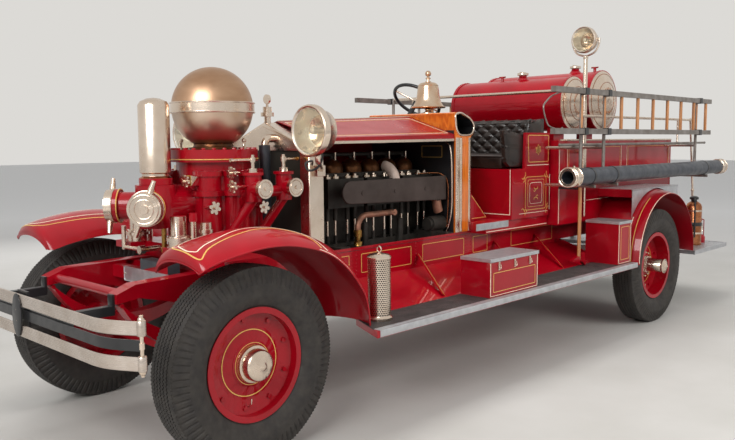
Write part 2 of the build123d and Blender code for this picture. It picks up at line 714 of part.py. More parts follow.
# Engine: crankcase, three pairs of cylinders with domed heads, valve chest, tappets and pipes on the left
engine_front_x = hood_front_x - 60
engine_rear_x = hood_rear_x + 15
crank_half = 210
deck_z = 985
chest_low = 1240
chest_high = 1445
chest_in = 120
chest_out = 246
bore_pitch = 195
jacket_radius = 81
dome_z = 1498
pair_pitch = 2 * bore_pitch
pair_xs = [front_axle_x - 2127 + pair_pitch * pair for pair in range(3)]
shield_out = frame_half - 70
with BuildPart() as engine:
    add(block(engine_rear_x, engine_front_x, -crank_half, crank_half, 780, deck_z))
    add(block(gearbox_rear_x, engine_rear_x, -120, 120, 690, 940))
    for foot in (engine_front_x - 190, engine_rear_x + 10):
        add(block(foot, foot + 90, -frame_half, frame_half, frame_top, frame_top + 26))
    details = []
    for centre in pair_xs:
        for side in (1, -1):
            details.append(block(centre - 176, centre + 176, side * chest_in, side * chest_out, chest_low, chest_high))
            details.append(block(centre - 150, centre + 150, side * 60, side * (chest_in + 10), chest_low + 30, chest_high + 20))
        details.append(block(centre - 176, centre + 176, -104, 104, deck_z, dome_z - 20))
        for offset in (-0.5, 0.5):
            x = centre + offset * bore_pitch
            details.append(rod((x, 0, deck_z), (x, 0, dome_z), jacket_radius))
            details.append(Pos(x, 0, dome_z) * Sphere(jacket_radius, mode=Mode.PRIVATE))
            details.append(rod((x, 0, dome_z + 60), (x, 0, dome_z + 106), 17))
            details.append(rod((x, 34, dome_z + 50), (x, 34, dome_z + 128), 7))
            for side in (1, -1):
                for valve in (-38, 38):
                    details.append(rod((x + valve, side * 196, chest_high), (x + valve, side * 196, chest_high + 16), 27))
                    details.append(rod((x + valve, side * 196, chest_high + 16), (x + valve, side * 196, chest_high + 30), 13))
                    # tappet, its guide and the spring collar
                    details.append(rod((x + valve, side * 192, deck_z), (x + valve, side * 192, chest_low), 8))
                    details.append(rod((x + valve, side * 192, deck_z), (x + valve, side * 192, deck_z + 60), 14))
                    details.append(rod((x + valve, side * 192, chest_low - 90), (x + valve, side * 192, chest_low), 17))
    # water pipe over the heads with a branch to each pair
    details.append(rod((engine_rear_x + 90, 0, dome_z + 112), (engine_front_x - 40, 0, dome_z + 112), 15))
    # oil breathers and filler on the crankcase deck
    for x in (pair_xs[0] + pair_pitch / 2, pair_xs[1] + pair_pitch / 2):
        details.append(rod((x, 232, 985 - 60), (x, 232, 1120), 24))
        details.append(block(x - 24, x + 24, 190, 232, 940, 1000))
    add(details)
    # water pump delivery: upright, bend and level run to the middle pair
    pump_pipe_x = front_axle_x - 1424
    level_end_x = front_axle_x - 1800
    with BuildLine() as run:
        Line((pump_pipe_x, 280, deck_z - 25), (pump_pipe_x, 280, 1090))
        bend = TangentArc((pump_pipe_x, 280, 1090), (pump_pipe_x - 88, 280, 1178), tangent=(0, 0, 1))
        Line(bend @ 1, (level_end_x, 280, 1178))
    with BuildSketch(Plane(origin=(pump_pipe_x, 280, deck_z - 25), z_dir=(0, 0, 1))):
        Circle(21)
    sweep(path=run.line)
    add(rod((pump_pipe_x, 280, 1030), (pump_pipe_x, 280, 1078), 31))
    add(rod((pump_pipe_x, 280, deck_z - 25), (pump_pipe_x, 280, deck_z + 10), 31))
    add(block(pump_pipe_x - 40, pump_pipe_x + 40, 180, 312, deck_z - 50, deck_z - 20))
    add(rod((level_end_x, 300, 1178), (level_end_x, 185, 1178), 23))
    # magneto drum on its bracket at the rear
    add(rod((engine_rear_x + 5, 325, 1062), (engine_rear_x + 160, 325, 1062), 60))
    add(rod((engine_rear_x + 160, 325, 1062), (engine_rear_x + 182, 325, 1062), 46))
    add(block(engine_rear_x + 10, engine_rear_x + 160, 180, 354, 930, 1012))
    add(rod((engine_front_x, 0, 880), (front_member_x - member_half, 0, 880), 50))
deliver(engine, "engine")

# Exhaust manifold: round pipe behind a long shield plate with a rounded front end, and the bends above and below
shield_front_x = front_axle_x - 1184
shield_rear_x = engine_rear_x + 8
shield_high = 1434
shield_low = 1275
shield_low_rear = 1247
shield_thick = 16
manifold_z = 1345
manifold_y = 320
mark_xs = (front_axle_x - 1378, front_axle_x - 1718, front_axle_x - 2061)
with BuildPart() as shield:
    with BuildSketch(side_plane(shield_out)):
        with BuildLine():
            Line((shield_rear_x, shield_high), (shield_front_x - 80, shield_high))
            nose = ThreePointArc((shield_front_x - 80, shield_high), (shield_front_x, (shield_high + shield_low) / 2),
                                 (shield_front_x - 80, shield_low))
            Line(nose @ 1, (shield_rear_x, shield_low_rear))
            Line((shield_rear_x, shield_low_rear), (shield_rear_x, shield_high))
        make_face()
    extrude(amount=shield_thick)
    fillet(shield.faces().sort_by(Axis.Y)[-1].edges(), radius=6)
    add(rod((shield_rear_x + 4, manifold_y, manifold_z), (shield_front_x - 120, manifold_y, manifold_z), 46))
    for sx in pair_xs:
        add(block(sx - 34, sx + 34, chest_out, manifold_y - 20, manifold_z - 36, manifold_z + 36))
    for sx in mark_xs:
        add(rod((sx, shield_out - 4, manifold_z), (sx, shield_out + 5, manifold_z), 15))
    # bend down from the heads on to the manifold
    bend_x = front_axle_x - 1765
    with BuildLine() as arc:
        ThreePointArc((bend_x, 228, 1522), (bend_x, 304, 1482), (bend_x, 326, 1366))
    with BuildSketch(Plane(origin=arc.line @ 0, z_dir=arc.line % 0)):
        Circle(38)
    sweep(path=arc.line)
    # tail bend at the rear, down towards the frame
    with BuildLine() as arc:
        ThreePointArc((front_axle_x - 2248, 326, 1318), (front_axle_x - 2256, 326, 1226), (front_axle_x - 2280, 326, 1156))
    with BuildSketch(Plane(origin=arc.line @ 0, z_dir=arc.line % 0)):
        Circle(37)
    sweep(path=arc.line)
deliver(shield, "exhaust_manifold")

# Steering column line, on the right
column_radius = 22
wheel_centre = Vector(front_axle_x - 2865, -390, 2060)
column_way = Vector(0.62, 0, -0.785).normalized()
column_foot = wheel_centre + column_way * 1180

# Dash: wooden bulkhead with a hollow sheet cowl over it, open at both shoulders
dash_rear_x = hood_rear_x - dash_depth
dash_wall = 30
cowl_floor = 1740
cowl_skin = 12
cowl_outline = [(dash_rear_x + 30, cowl_floor - 10), (hood_rear_x, cowl_floor - 10), (hood_rear_x, cowl_break),
                (cowl_tip_x, cowl_tip_z), (cowl_tip_x - 12, cowl_tip_z + 7), (cowl_tip_x - 85, cowl_tip_z + 8),
                (dash_rear_x + 15, 1886), (dash_rear_x - 50, 1820), (dash_rear_x - 26, 1752)]
vent_outline = [(dash_rear_x - 14, cowl_floor + 22), (dash_rear_x + 34, cowl_floor + cowl_skin),
                (hood_rear_x - 50, cowl_floor + cowl_skin), (hood_rear_x - 14, cowl_break + 8),
                (cowl_tip_x - 18, cowl_tip_z - 10), (cowl_tip_x - 85, cowl_tip_z - 5),
                (dash_rear_x + 14, 1868), (dash_rear_x - 38, 1816)]
with BuildPart() as dash:
    add(block(dash_rear_x, hood_rear_x, -dash_half, dash_half, frame_top, cowl_floor))
    add(block(dash_rear_x - 1, hood_rear_x - 40, -dash_half + dash_wall, dash_half - dash_wall,
              floor_top, cowl_floor - cowl_skin - 10), mode=Mode.SUBTRACT)
    with BuildSketch(side_plane(0)):
        Polygon(*cowl_outline, align=None)
    extrude(amount=dash_half, both=True)
    with BuildSketch(side_plane(0)):
        Polygon(*vent_outline, align=None)
    extrude(amount=dash_half + 1, both=True, mode=Mode.SUBTRACT)
    # wooden pad under the bell
    add(rod((front_axle_x - 2550, 0, cowl_floor + 20), (front_axle_x - 2550, 0, 1925 - fit), 74))
    add(rod(tuple(wheel_centre), tuple(column_foot), column_radius + 2), mode=Mode.SUBTRACT)
deliver(dash, "dash_cowl")

# Bell on the cowl
bell_x = front_axle_x - 2550
with BuildPart() as bell_turned:
    with BuildSketch(Plane.XZ):
        with BuildLine():
            Polyline((0, 1925), (70, 1925), (70, 1937), (14, 1945), (14, 2060), (60, 2060), (100, 2010), (118, 1980),
                     (146, 1980), (124, 2040), (104, 2100), (84, 2158), (52, 2184), (18, 2192), (14, 2225),
                     (26, 2240), (26, 2262), (0, 2281), close=True)
        make_face()
    revolve(axis=Axis.Z)
with BuildPart() as bell:
    add(Pos(bell_x, 0, 0) * bell_turned.part)
deliver(bell, "bell")

# Steering column with its box on the frame, and the wheel
with BuildPart() as column:
    add(rod(tuple(wheel_centre + column_way * (26 + fit)), tuple(column_foot), column_radius))
    add(block(column_foot.X - 60, column_foot.X + 90, -frame_half + 22, -frame_half + 110, frame_top, 1140))
deliver(column, "steering_column")

with BuildPart() as ring:
    Torus(215, 15)
    with Locations((0, 0, -8)):
        Cylinder(36, 36)
    for angle in (45, 135, 225, 315):
        add(rod((20 * cos(radians(angle)), 20 * sin(radians(angle)), -6),
                (212 * cos(radians(angle)), 212 * sin(radians(angle)), 0), 9))
with BuildPart() as steering_wheel:
    add(Plane(origin=wheel_centre, z_dir=column_way * -1) * ring.part)
deliver(steering_wheel, "steering_wheel")

# Floor, seat box with its side panels, cushion and back
with BuildPart() as seat_box:
    add(block(dash_rear_x, body_front_x, -floor_half, floor_half, frame_top, floor_top))
    add(block(seat_front_x - seat_depth, seat_front_x, -seat_half, seat_half, floor_top, seat_top))
    for side in (1, -1):
        with BuildSketch(side_plane(side * (floor_half + 2))):
            Polygon((seat_front_x - seat_depth, seat_top), (seat_front_x - 190, seat_top),
                    (seat_front_x - 200, 1766), (seat_front_x - seat_depth, 1766), align=None)
        extrude(amount=-side * (seat_half - floor_half - 2))
deliver(seat_box, "seat_box")

with BuildPart() as cushion:
    add(block(seat_front_x - seat_depth + 130, seat_front_x, -floor_half + 65, floor_half - 65,
              seat_top, seat_top + cushion_height))
deliver(cushion, "seat_cushion")

with BuildPart() as seat_back:
    rear = seat_front_x - seat_depth
    with BuildSketch(side_plane(0)):
        Polygon((rear, seat_top), (rear + 125, seat_top), (rear + 112, seat_back_top - 30),
                (rear + 70, seat_back_top), (rear, seat_back_top), align=None)
    extrude(amount=floor_half, both=True)
    for side in (1, -1):
        with BuildSketch(side_plane(side * (floor_half - 30))):
            Polygon((rear, seat_top), (seat_front_x - 20, seat_top), (seat_front_x + 50, seat_top + 50),
                    (seat_front_x + 90, 1782), (seat_front_x + 76, 1803), (rear + 300, 1766),
                    (rear + 268, seat_back_top - 30), (rear + 30, seat_back_top), (rear, seat_back_top - 6), align=None)
        extrude(amount=30, both=True)
deliver(seat_back, "seat_back")

# Body: closed front locker with the tanks over it, open hose bed behind
deck_rear_x = body_front_x - 1260
with BuildPart() as body:
    add(block(body_rear_x, body_front_x, -body_half, body_half, frame_top, body_top))
    add(block(body_rear_x - 1, deck_rear_x, -body_half + body_sheet, body_half - body_sheet,
              body_floor, body_top + 1), mode=Mode.SUBTRACT)
    add(block(body_rear_x + 40, body_front_x - body_sheet, -body_half + body_sheet, body_half - body_sheet,
              frame_top - 1, body_floor - body_sheet), mode=Mode.SUBTRACT)
    add(block(deck_rear_x + body_sheet, body_front_x - body_sheet, -body_half + body_sheet, body_half - body_sheet,
              frame_top - 1, body_top - body_sheet), mode=Mode.SUBTRACT)
    for side in (1, -1):
        add(block(body_rear_x, body_front_x, side * (frame_half - 80), side * frame_half, frame_top, body_floor - 5))
deliver(body, "hose_body")

# Chemical tanks across the body on saddles, with domed ends, fillers and relief fittings
tank_table = [
    # x, z, radius, filler y, second fitting y
    (front_axle_x - 3880, 2030, 238, 60, -170),
    (front_axle_x - 4420, 2070, 278, 306, 510),
]
tank_half = 600
tank_dome = 66
with BuildPart() as tanks:
    for x, z, radius, filler_y, fitting_y in tank_table:
        # each end is a cap of a large ball, centred on the tank's axis
        bulge = (radius ** 2 + tank_dome ** 2) / (2 * tank_dome)
        middle = asin(radius / bulge) / 2
        mid_x = x + bulge * sin(middle)
        mid_y = tank_half + tank_dome - bulge * (1 - cos(middle))
        with BuildSketch(Plane.XY.offset(z)):
            with BuildLine():
                left = ThreePointArc((x, tank_half + tank_dome), (mid_x, mid_y), (x + radius, tank_half))
                Line(left @ 1, (x + radius, -tank_half))
                right = ThreePointArc((x + radius, -tank_half), (mid_x, -mid_y), (x, -tank_half - tank_dome))
                Line(right @ 1, left @ 0)
            make_face()
        revolve(axis=Axis((x, 0, z), (0, 1, 0)))
        for side in (1, -1):
            add(rod((x, side * (tank_half - 30), z), (x, side * tank_half, z), radius + 7))
            add(block(x - 90, x + 90, side * 380, side * 450, body_top, z - radius + 30))
        top = z + radius
        add(Pos(x, filler_y, top - 12) * Cone(66, 33, 44, align=(Align.CENTER, Align.CENTER, Align.MIN), mode=Mode.PRIVATE))
        add(rod((x, filler_y, top + 30), (x, filler_y, top + 52), 36))
        add(rod((x, filler_y, top + 44), (x, filler_y, top + 64), 52))
        add(rod((x - 46, filler_y, top + 68), (x + 46, filler_y, top + 68), 7))
        add(rod((x, fitting_y, top - 12), (x, fitting_y, top + 40), 14))
        add(rod((x, fitting_y - 34, top + 40), (x, fitting_y + 34, top + 40), 8))
    add(block(tank_table[1][0], tank_table[0][0], -40, 40, 1990, 2060))
deliver(tanks, "booster_tanks")

# Ladders on racks at both sides, with the grab rail inside each
rack_radius = 14
grab_radius = 12
grab_y = body_half + 130
grab_z = 1908
hose_rest = hose_z - hose_radius - rack_radius - fit
rack_xs = [body_front_x + 200, body_front_x - 190, body_rear_x + 160]
rung_count = 7
rung_first = body_front_x - 440
rung_last = ladder_rear_x + 110
grab_end_x = body_rear_x - 170
upright_x = tail_x + 275
for name, side in (("left", 1), ("right", -1)):
    with BuildPart() as ladder:
        y = side * ladder_y
        post_y = y - side * 30
        for level in (ladder_low, ladder_high):
            add(block(ladder_rear_x, ladder_front_x, y - 20, y + 20, level - 22, level + 22))
            # clamps over the rails at the racks
            for x in rack_xs:
                add(block(x - 26, x + 26, y - 26, y + 26, level - 28, level + 28))
        for number in range(rung_count):
            x = rung_first + (rung_last - rung_first) * number / (rung_count - 1)
            add(rod((x, y, ladder_low), (x, y, ladder_high), 15))
        for x in rack_xs:
            add(rod((x, post_y, hose_rest), (x, post_y, ladder_high + 30), rack_radius))
            add(rod((x, side * body_half, hose_rest), (x, side * (hose_y + 45), hose_rest), rack_radius))
            add(rod((x, side * body_half, 1640), (x, post_y, 1640), rack_radius - 1))
        # grab rail along the body, its posts and the rear upright down to the tailboard
        add(rod((grab_end_x, side * grab_y, grab_z), (rack_xs[1] + 100, side * grab_y, grab_z), grab_radius))
        for x in rack_xs[1:]:
            add(rod((x, side * grab_y, 1640), (x, side * grab_y, grab_z - 4), grab_radius - 2))
        add(rod((grab_end_x, side * grab_y, grab_z), (upright_x, side * grab_y, 1150), grab_radius - 1))
        add(rod((upright_x, side * grab_y, 572), (upright_x, side * grab_y, 1150), grab_radius))
        for x, level in ((grab_end_x, grab_z), (upright_x, 1150)):
            with Locations((x, side * grab_y, level)):
                Sphere(grab_radius + 7)
    deliver(ladder, f"{name}_ladder")

# Cross rail behind the seat between the front ladder posts
rail_post_y = ladder_y - 30 - rack_radius - fit
with BuildPart() as handrail:
    add(rod((rack_xs[0], -rail_post_y, ladder_high + 16), (rack_xs[0], rail_post_y, ladder_high + 16), 13))
deliver(handrail, "handrail")

# Hard suction hoses beside the body
for name, side in (("left", 1), ("right", -1)):
    y = side * hose_y
    with BuildPart() as hose:
        add(rod((hose_rear_x, y, hose_z), (hose_front_x, y, hose_z), hose_radius))
        add(rod((hose_front_x - 110, y, hose_z), (hose_front_x, y, hose_z), hose_ring))
        add(rod((hose_rear_x, y, hose_z), (hose_rear_x + 110, y, hose_z), hose_ring))
        add(rod((hose_front_x - 900, y, hose_z), (hose_front_x + 1, y, hose_z), hose_bore), mode=Mode.SUBTRACT)
    deliver(hose, f"{name}_suction_hose")

# Searchlight on its pole at the left of the tanks
light_x = front_axle_x - 3720
light_y = body_half + 90
light_z = 2555
with BuildPart() as pole:
    add(rod((light_x, light_y, 1330), (light_x, light_y, light_z - 159 - fit), 19))
    for level in (1345, 1600):
        add(rod((light_x, body_half, level), (light_x, light_y, level), 14))
deliver(pole, "searchlight_pole")

with BuildPart() as searchlight:
    with BuildSketch(Plane.XY):
        with BuildLine():
            Polyline((0, 60), (104, 60), (112, 52), (112, 20), (100, 10), (92, -60), (50, -85), (0, -90), close=True)
        make_face()
    revolve(axis=Axis.Y)
with BuildPart() as lamp:
    add(Pos(light_x, light_y, light_z) * (Rot(0, 0, -90) * searchlight.part))
    for side in (1, -1):
        add(block(light_x - 12, light_x + 12, light_y + side * 96, light_y + side * 128, light_z - 12, light_z + 12))
        add(rod((light_x, light_y + side * 122, light_z), (light_x, light_y + side * 100, light_z - 90), 8))
        add(rod((light_x, light_y + side * 100, light_z - 90), (light_x, light_y, light_z - 140), 8))
    add(rod((light_x, light_y, light_z - 159), (light_x, light_y, light_z - 130), 22))
deliver(lamp, "searchlight")

# Front fenders: crowned section swept over the wheel
for name, side in (("left", 1), ("right", -1)):
    with BuildPart() as fender:
        crown_y = side * 860
        with BuildLine() as path:
            crown = ThreePointArc(
                (front_axle_x + 420, crown_y, 1192),
                (front_axle_x, crown_y, 1256),
                (front_axle_x - 420, crown_y, 1172),
            )
            tail = TangentArc(crown @ 1, (front_axle_x - 765, crown_y, 830), tangent=crown % 1)
            Line(tail @ 1, (front_axle_x - 800, crown_y, board_top))
        start = Plane(origin=path.line @ 0, z_dir=path.line % 0, x_dir=(0, side, 0))
        down = side
        with BuildSketch(start):
            with BuildLine():
                outer = ThreePointArc((front_fender_inner - 860, down * 150), (0, 0), (front_fender_outer - 860, down * 82))
                Line(outer @ 1, outer @ 1 + Vector(-fender_thick, 0))
                inner = ThreePointArc(outer @ 1 + Vector(-fender_thick, 0), (0, down * fender_thick),
                                      outer @ 0 + Vector(fender_thick, 0))
                Line(inner @ 1, outer @ 0)
            make_face()
        sweep(path=path.line)
        add(block(front_axle_x - 900, front_axle_x - 500, side * 500, side * 1200, board_top - 200, board_top),
            mode=Mode.SUBTRACT)
    deliver(fender, f"{name}_front_fender")

# Rear fenders: half-round arch from the running board to behind the wheel
step_out = body_half + 330
for name, side in (("left", 1), ("right", -1)):
    with BuildPart() as fender:
        crown_y = side * 930
        outer_r = rear_arch_radius
        with BuildSketch(Plane.XY.offset(rear_arch_z)):
            with BuildLine():
                outline = ThreePointArc(
                    (rear_arch_x + outer_r - 18, side * body_half),
                    (rear_arch_x + outer_r, crown_y),
                    (rear_arch_x + outer_r - 45, side * rear_fender_outer),
                )
                Line(outline @ 1, outline @ 1 + Vector(-fender_thick, 0))
                back = ThreePointArc(
                    outline @ 1 + Vector(-fender_thick, 0),
                    (rear_arch_x + outer_r - fender_thick, crown_y),
                    (rear_arch_x + outer_r - 18 - fender_thick, side * body_half),
                )
                Line(back @ 1, outline @ 0)
            make_face()
        revolve(axis=Axis((rear_arch_x, 0, rear_arch_z), (0, 1, 0)), revolution_arc=-180)
        # flat step over the crown, with a lip down at each end
        top = rear_arch_z + outer_r + 7
        add(block(rear_arch_x - 500, rear_arch_x + 500, side * body_half, side * step_out, top - 12, top))
        for end in (1, -1):
            add(block(rear_arch_x + end * 494, rear_arch_x + end * 500, side * body_half, side * step_out, top - 72, top))
    deliver(fender, f"{name}_rear_fender")

# Running boards with aprons, struts and tool boxes
box_table = [
    # front x, rear x, inner y, outer y, height
    (front_axle_x - 1844, front_axle_x - 2445, 878, 1125, 272),
    (rear_axle_x + 827, rear_axle_x + 597, 810, 1118, 375),
]
for name, side in (("left", 1), ("right", -1)):
    with BuildPart() as board:
        add(block(board_front_x, board_rear_x, side * board_inner, side * board_outer, board_top - board_thick, board_top))
        with BuildSketch(Plane.YZ.offset(board_rear_x)):
            with BuildLine():
                Polyline(
                    (side * frame_half, 775),
                    (side * (board_inner + 4), board_top - 3),
                    (side * (board_inner + 4), board_top - 3 - apron_thick),
                    (side * frame_half, 775 - apron_thick),
                    close=True,
                )
            make_face()
        extrude(amount=front_axle_x - 805 - board_rear_x)
        # cover plate along the outside of the frame rail
        add(block(hood_front_x - 4, dash_rear_x, side * frame_half, side * (frame_half + sill_thick), 772, sill_top))
        add(block(dash_rear_x, sill_rear_x, side * frame_half, side * (frame_half + sill_thick), 772, frame_top))
        for x in brace_xs:
            add(flat_bar((x, side * (frame_half + 5), 866), (x + 190, side * (board_inner - 20), board_top + 12), 34, 12))
            add(block(x - 25, x + 25, side * frame_half, side * (board_inner + 200),
                      board_top - board_thick - 30, board_top - board_thick + 10))
        for front_x, rear_x, inner_y, outer_y, height in box_table:
            add(block(front_x, rear_x, side * inner_y, side * outer_y, board_top - 2, board_top + height - lid_thick))
            add(block(front_x - box_wall, rear_x + box_wall, side * (inner_y + box_wall), side * (outer_y - box_wall),
                      board_top + box_wall, board_top + height), mode=Mode.SUBTRACT)
    deliver(board, f"{name}_running_board")
    for number, (front_x, rear_x, inner_y, outer_y, height) in enumerate(box_table, 1):
        with BuildPart() as lid:
            top = board_top + height
            add(block(front_x + 6, rear_x - 6, side * (inner_y - 2), side * (outer_y + 8), top - lid_thick + fit, top))
        deliver(lid, f"{name}_box_lid_{number}")

# Strainer on the left running board
strainer_x = front_axle_x - 893
strainer_y = 982
with BuildPart() as strainer:
    with BuildSketch(Plane.XZ):
        with BuildLine():
            Polyline((0, board_top), (80, board_top), (80, board_top + 20), (70, board_top + 26), (70, 1000), (75, 1004),
                     (75, 1014), (62, 1028), (32, 1036), (9, 1037), (9, 1044), (0, 1044), close=True)
        make_face()
    revolve(axis=Axis.Z)
    add(Pos(0, 0, 1060) * (Rot(90, 0, 0) * Torus(17, 5, mode=Mode.PRIVATE)))
with BuildPart() as placed_strainer:
    add(Pos(strainer_x, strainer_y, 0) * strainer.part)
deliver(placed_strainer, "strainer")

# Tailboard with its brackets
step_half = 1110
step_top = 572
step_front_x = rear_axle_x - 880
with BuildPart() as tailboard:
    add(block(tail_x, step_front_x, -step_half, step_half, step_top - 38, step_top))
    for side in (1, -1):
        add(block(tail_x + 60, rail_rear_x + 200, side * (frame_half - 70), side * (frame_half - 20), step_top - 78, step_top - 38))
        add(block(rail_rear_x, rail_rear_x + 60, side * (frame_half - 70), side * (frame_half - 20),
                  step_top - 60, frame_top - rail_height))
deliver(tailboard, "tailboard")

# Extinguisher and lantern standing on the tailboard
with BuildPart() as extinguisher:
    ex = tail_x + 400
    ey = step_half - 210
    with BuildSketch(Plane.XZ):
        with BuildLine():
            Polyline((0, step_top), (88, step_top), (88, step_top + 22), (82, step_top + 28), (82, step_top + 200),
                     (85, step_top + 204), (85, step_top + 240), (82, step_top + 244), (82, step_top + 412),
                     (70, step_top + 440), (44, step_top + 462), (30, step_top + 468), (30, step_top + 484),
                     (46, step_top + 488), (46, step_top + 512), (20, step_top + 524), (0, step_top + 526), close=True)
        make_face()
    revolve(axis=Axis.Z)
with BuildPart() as placed:
    add(Pos(ex, ey, 0) * extinguisher.part)
deliver(placed, "extinguisher")

with BuildPart() as lantern:
    lx = tail_x + 170
    ly = step_half - 250
    with BuildSketch(Plane.XZ):
        with BuildLine():
            Polyline((0, step_top), (78, step_top), (80, step_top + 60), (62, step_top + 84), (40, step_top + 92),
                     (40, step_top + 108), (54, step_top + 130), (57, step_top + 165), (50, step_top + 205),
                     (38, step_top + 226), (44, step_top + 232), (44, step_top + 262), (26, step_top + 286),
                     (26, step_top + 296), (12, step_top + 306), (0, step_top + 306), close=True)
        make_face()
    revolve(axis=Axis.Z)
with BuildPart() as placed:
    add(Pos(lx, ly, 0) * lantern.part)
    for side in (1, -1):
        add(rod((lx, ly + side * 66, step_top + 74), (lx, ly + side * 66, step_top + 250), 5))
        add(rod((lx, ly + side * 66, step_top + 250), (lx, ly + side * 30, step_top + 262), 5))
deliver(placed, "lantern")

# Axe standing on the left board, clipped to the body side
axe_x = body_front_x - 16
axe_y = board_inner + 36
with BuildPart() as axe:
    add(rod((axe_x, axe_y, board_top + 60), (axe_x, axe_y, board_top + 922), 15))
    with BuildSketch(side_plane(axe_y)):
        Polygon((axe_x - 95, board_top), (axe_x - 80, board_top + 118), (axe_x - 30, board_top + 92),
                (axe_x + 34, board_top + 92), (axe_x + 118, board_top + 72), (axe_x + 118, board_top + 56),
                (axe_x + 34, board_top + 50), (axe_x - 30, board_top + 46), align=None)
    extrude(amount=14, both=True)
    add(block(axe_x - 18, axe_x + 4, body_half, axe_y, board_top + 655, board_top + 675))
deliver(axe, "axe")
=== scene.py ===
import bmesh
import bpy
import json
import math
from mathutils import Matrix, Vector
from mathutils.bvhtree import BVHTree

import numpy as np

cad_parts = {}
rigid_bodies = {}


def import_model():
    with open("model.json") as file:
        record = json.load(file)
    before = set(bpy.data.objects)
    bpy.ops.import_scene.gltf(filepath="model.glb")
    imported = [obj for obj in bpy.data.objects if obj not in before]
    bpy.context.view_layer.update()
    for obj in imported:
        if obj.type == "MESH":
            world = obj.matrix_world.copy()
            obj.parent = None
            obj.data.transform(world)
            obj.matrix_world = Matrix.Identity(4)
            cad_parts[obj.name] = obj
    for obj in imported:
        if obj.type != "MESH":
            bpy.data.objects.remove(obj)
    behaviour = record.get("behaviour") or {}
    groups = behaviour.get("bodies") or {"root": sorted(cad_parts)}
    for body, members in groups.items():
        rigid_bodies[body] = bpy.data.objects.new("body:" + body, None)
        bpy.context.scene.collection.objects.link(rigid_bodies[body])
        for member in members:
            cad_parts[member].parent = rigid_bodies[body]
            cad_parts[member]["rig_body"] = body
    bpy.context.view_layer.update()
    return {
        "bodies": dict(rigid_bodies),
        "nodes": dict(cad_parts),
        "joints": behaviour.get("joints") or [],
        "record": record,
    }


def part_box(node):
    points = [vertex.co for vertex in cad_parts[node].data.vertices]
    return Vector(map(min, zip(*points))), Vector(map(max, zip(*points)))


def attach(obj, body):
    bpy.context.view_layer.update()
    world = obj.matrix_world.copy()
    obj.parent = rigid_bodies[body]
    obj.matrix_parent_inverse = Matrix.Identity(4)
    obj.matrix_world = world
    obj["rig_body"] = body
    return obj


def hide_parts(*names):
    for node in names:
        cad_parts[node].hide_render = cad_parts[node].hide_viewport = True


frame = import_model()
nodes = frame["nodes"]
print("frame loaded:", len(nodes), "nodes")


def newObject(name, data):
    made = bpy.data.objects.new(name, data)
    bpy.context.scene.collection.objects.link(made)
    return made


def gathered(items, attribute):
    # one row of three numbers for each vertex or face
    values = np.zeros(len(items) * 3)
    items.foreach_get(attribute, values)
    return values.reshape(-1, 3)


def treeOf(mesh):
    return BVHTree.FromPolygons([v.co for v in mesh.vertices], [p.vertices for p in mesh.polygons])


def around(count):
    # angles evenly spaced round a circle
    return np.linspace(0, 2 * np.pi, count, endpoint=False)


# Colour and material helpers
finish = {}


def linear(hexColour):
    # each sRGB channel c becomes c / 12.92 when dark, else ((c + 0.055) / 1.055) to the power 2.4
    channels = [int(hexColour[i:i + 2], 16) / 255 for i in (1, 3, 5)]
    return tuple(c / 12.92 if c <= 0.04045 else ((c + 0.055) / 1.055) ** 2.4 for c in channels) + (1.0,)


def perMetre(millimetres):
    # a pattern's scale: how many of its cells fit in a metre
    return 1000 / millimetres


def addNode(tree, kind, inputs=None, **settings):
    # one shader node: settings are its properties, inputs are numbers, colours or other nodes' outputs
    made = tree.nodes.new("ShaderNode" + kind)
    for name, value in settings.items():
        setattr(made, name, value)
    for name, value in (inputs or {}).items():
        if isinstance(value, bpy.types.NodeSocket):
            tree.links.new(value, made.inputs[name])
        else:
            made.inputs[name].default_value = value
    return made


def startMaterial(name, colour, roughness, metallic=0.0, coat=0.0, sockets=None):
    made = bpy.data.materials.new(name)
    made.use_nodes = True
    tree = made.node_tree
    tree.nodes.clear()
    values = {"Base Color": linear(colour), "Roughness": roughness, "Metallic": metallic, "Coat Weight": coat,
              "Coat Roughness": 0.06}
    values.update(sockets or {})
    shader = addNode(tree, "BsdfPrincipled", values)
    addNode(tree, "OutputMaterial", {"Surface": shader.outputs["BSDF"]})
    finish[name] = made
    return tree, shader, addNode(tree, "TexCoord").outputs["Object"]


def noise(tree, coords, size, detail=3.0, rough=0.55, stretch=None):
    # cloudy noise whose cells are about size millimetres; stretch lengthens them along an axis
    vector = coords
    if stretch:
        vector = addNode(tree, "Mapping", {"Vector": coords, "Scale": stretch}).outputs["Vector"]
    return addNode(tree, "TexNoise", {"Vector": vector, "Scale": perMetre(size), "Detail": detail,
                                      "Roughness": rough}).outputs["Fac"]


def mapped(tree, value, low, high, fromLow=0.3, fromHigh=0.7):
    # value between fromLow and fromHigh becomes low to high
    return addNode(tree, "MapRange", {"Value": value, "From Min": fromLow, "From Max": fromHigh,
                                      "To Min": low, "To Max": high}).outputs["Result"]


def mixColours(tree, factor, first, second):
    made = addNode(tree, "Mix", {"Factor": factor}, data_type="RGBA")
    for socket, value in ((made.inputs[6], first), (made.inputs[7], second)):
        if isinstance(value, bpy.types.NodeSocket):
            tree.links.new(value, socket)
        else:
            socket.default_value = linear(value)
    return made.outputs[2]


def bump(tree, shader, height, millimetres, strength=1.0):
    made = addNode(tree, "Bump", {"Height": height, "Distance": millimetres / 1000, "Strength": strength})
    tree.links.new(made.outputs["Normal"], shader.inputs["Normal"])


def paint(tree, shader, colour):
    tree.links.new(colour, shader.inputs["Base Color"])


def patches(tree, shader, value, first, second):
    # base colour: the first where value is low, the second where it is high
    paint(tree, shader, mixColours(tree, mapped(tree, value, 0.0, 1.0), first, second))


def roughen(tree, shader, value, low, high):
    tree.links.new(mapped(tree, value, low, high), shader.inputs["Roughness"])


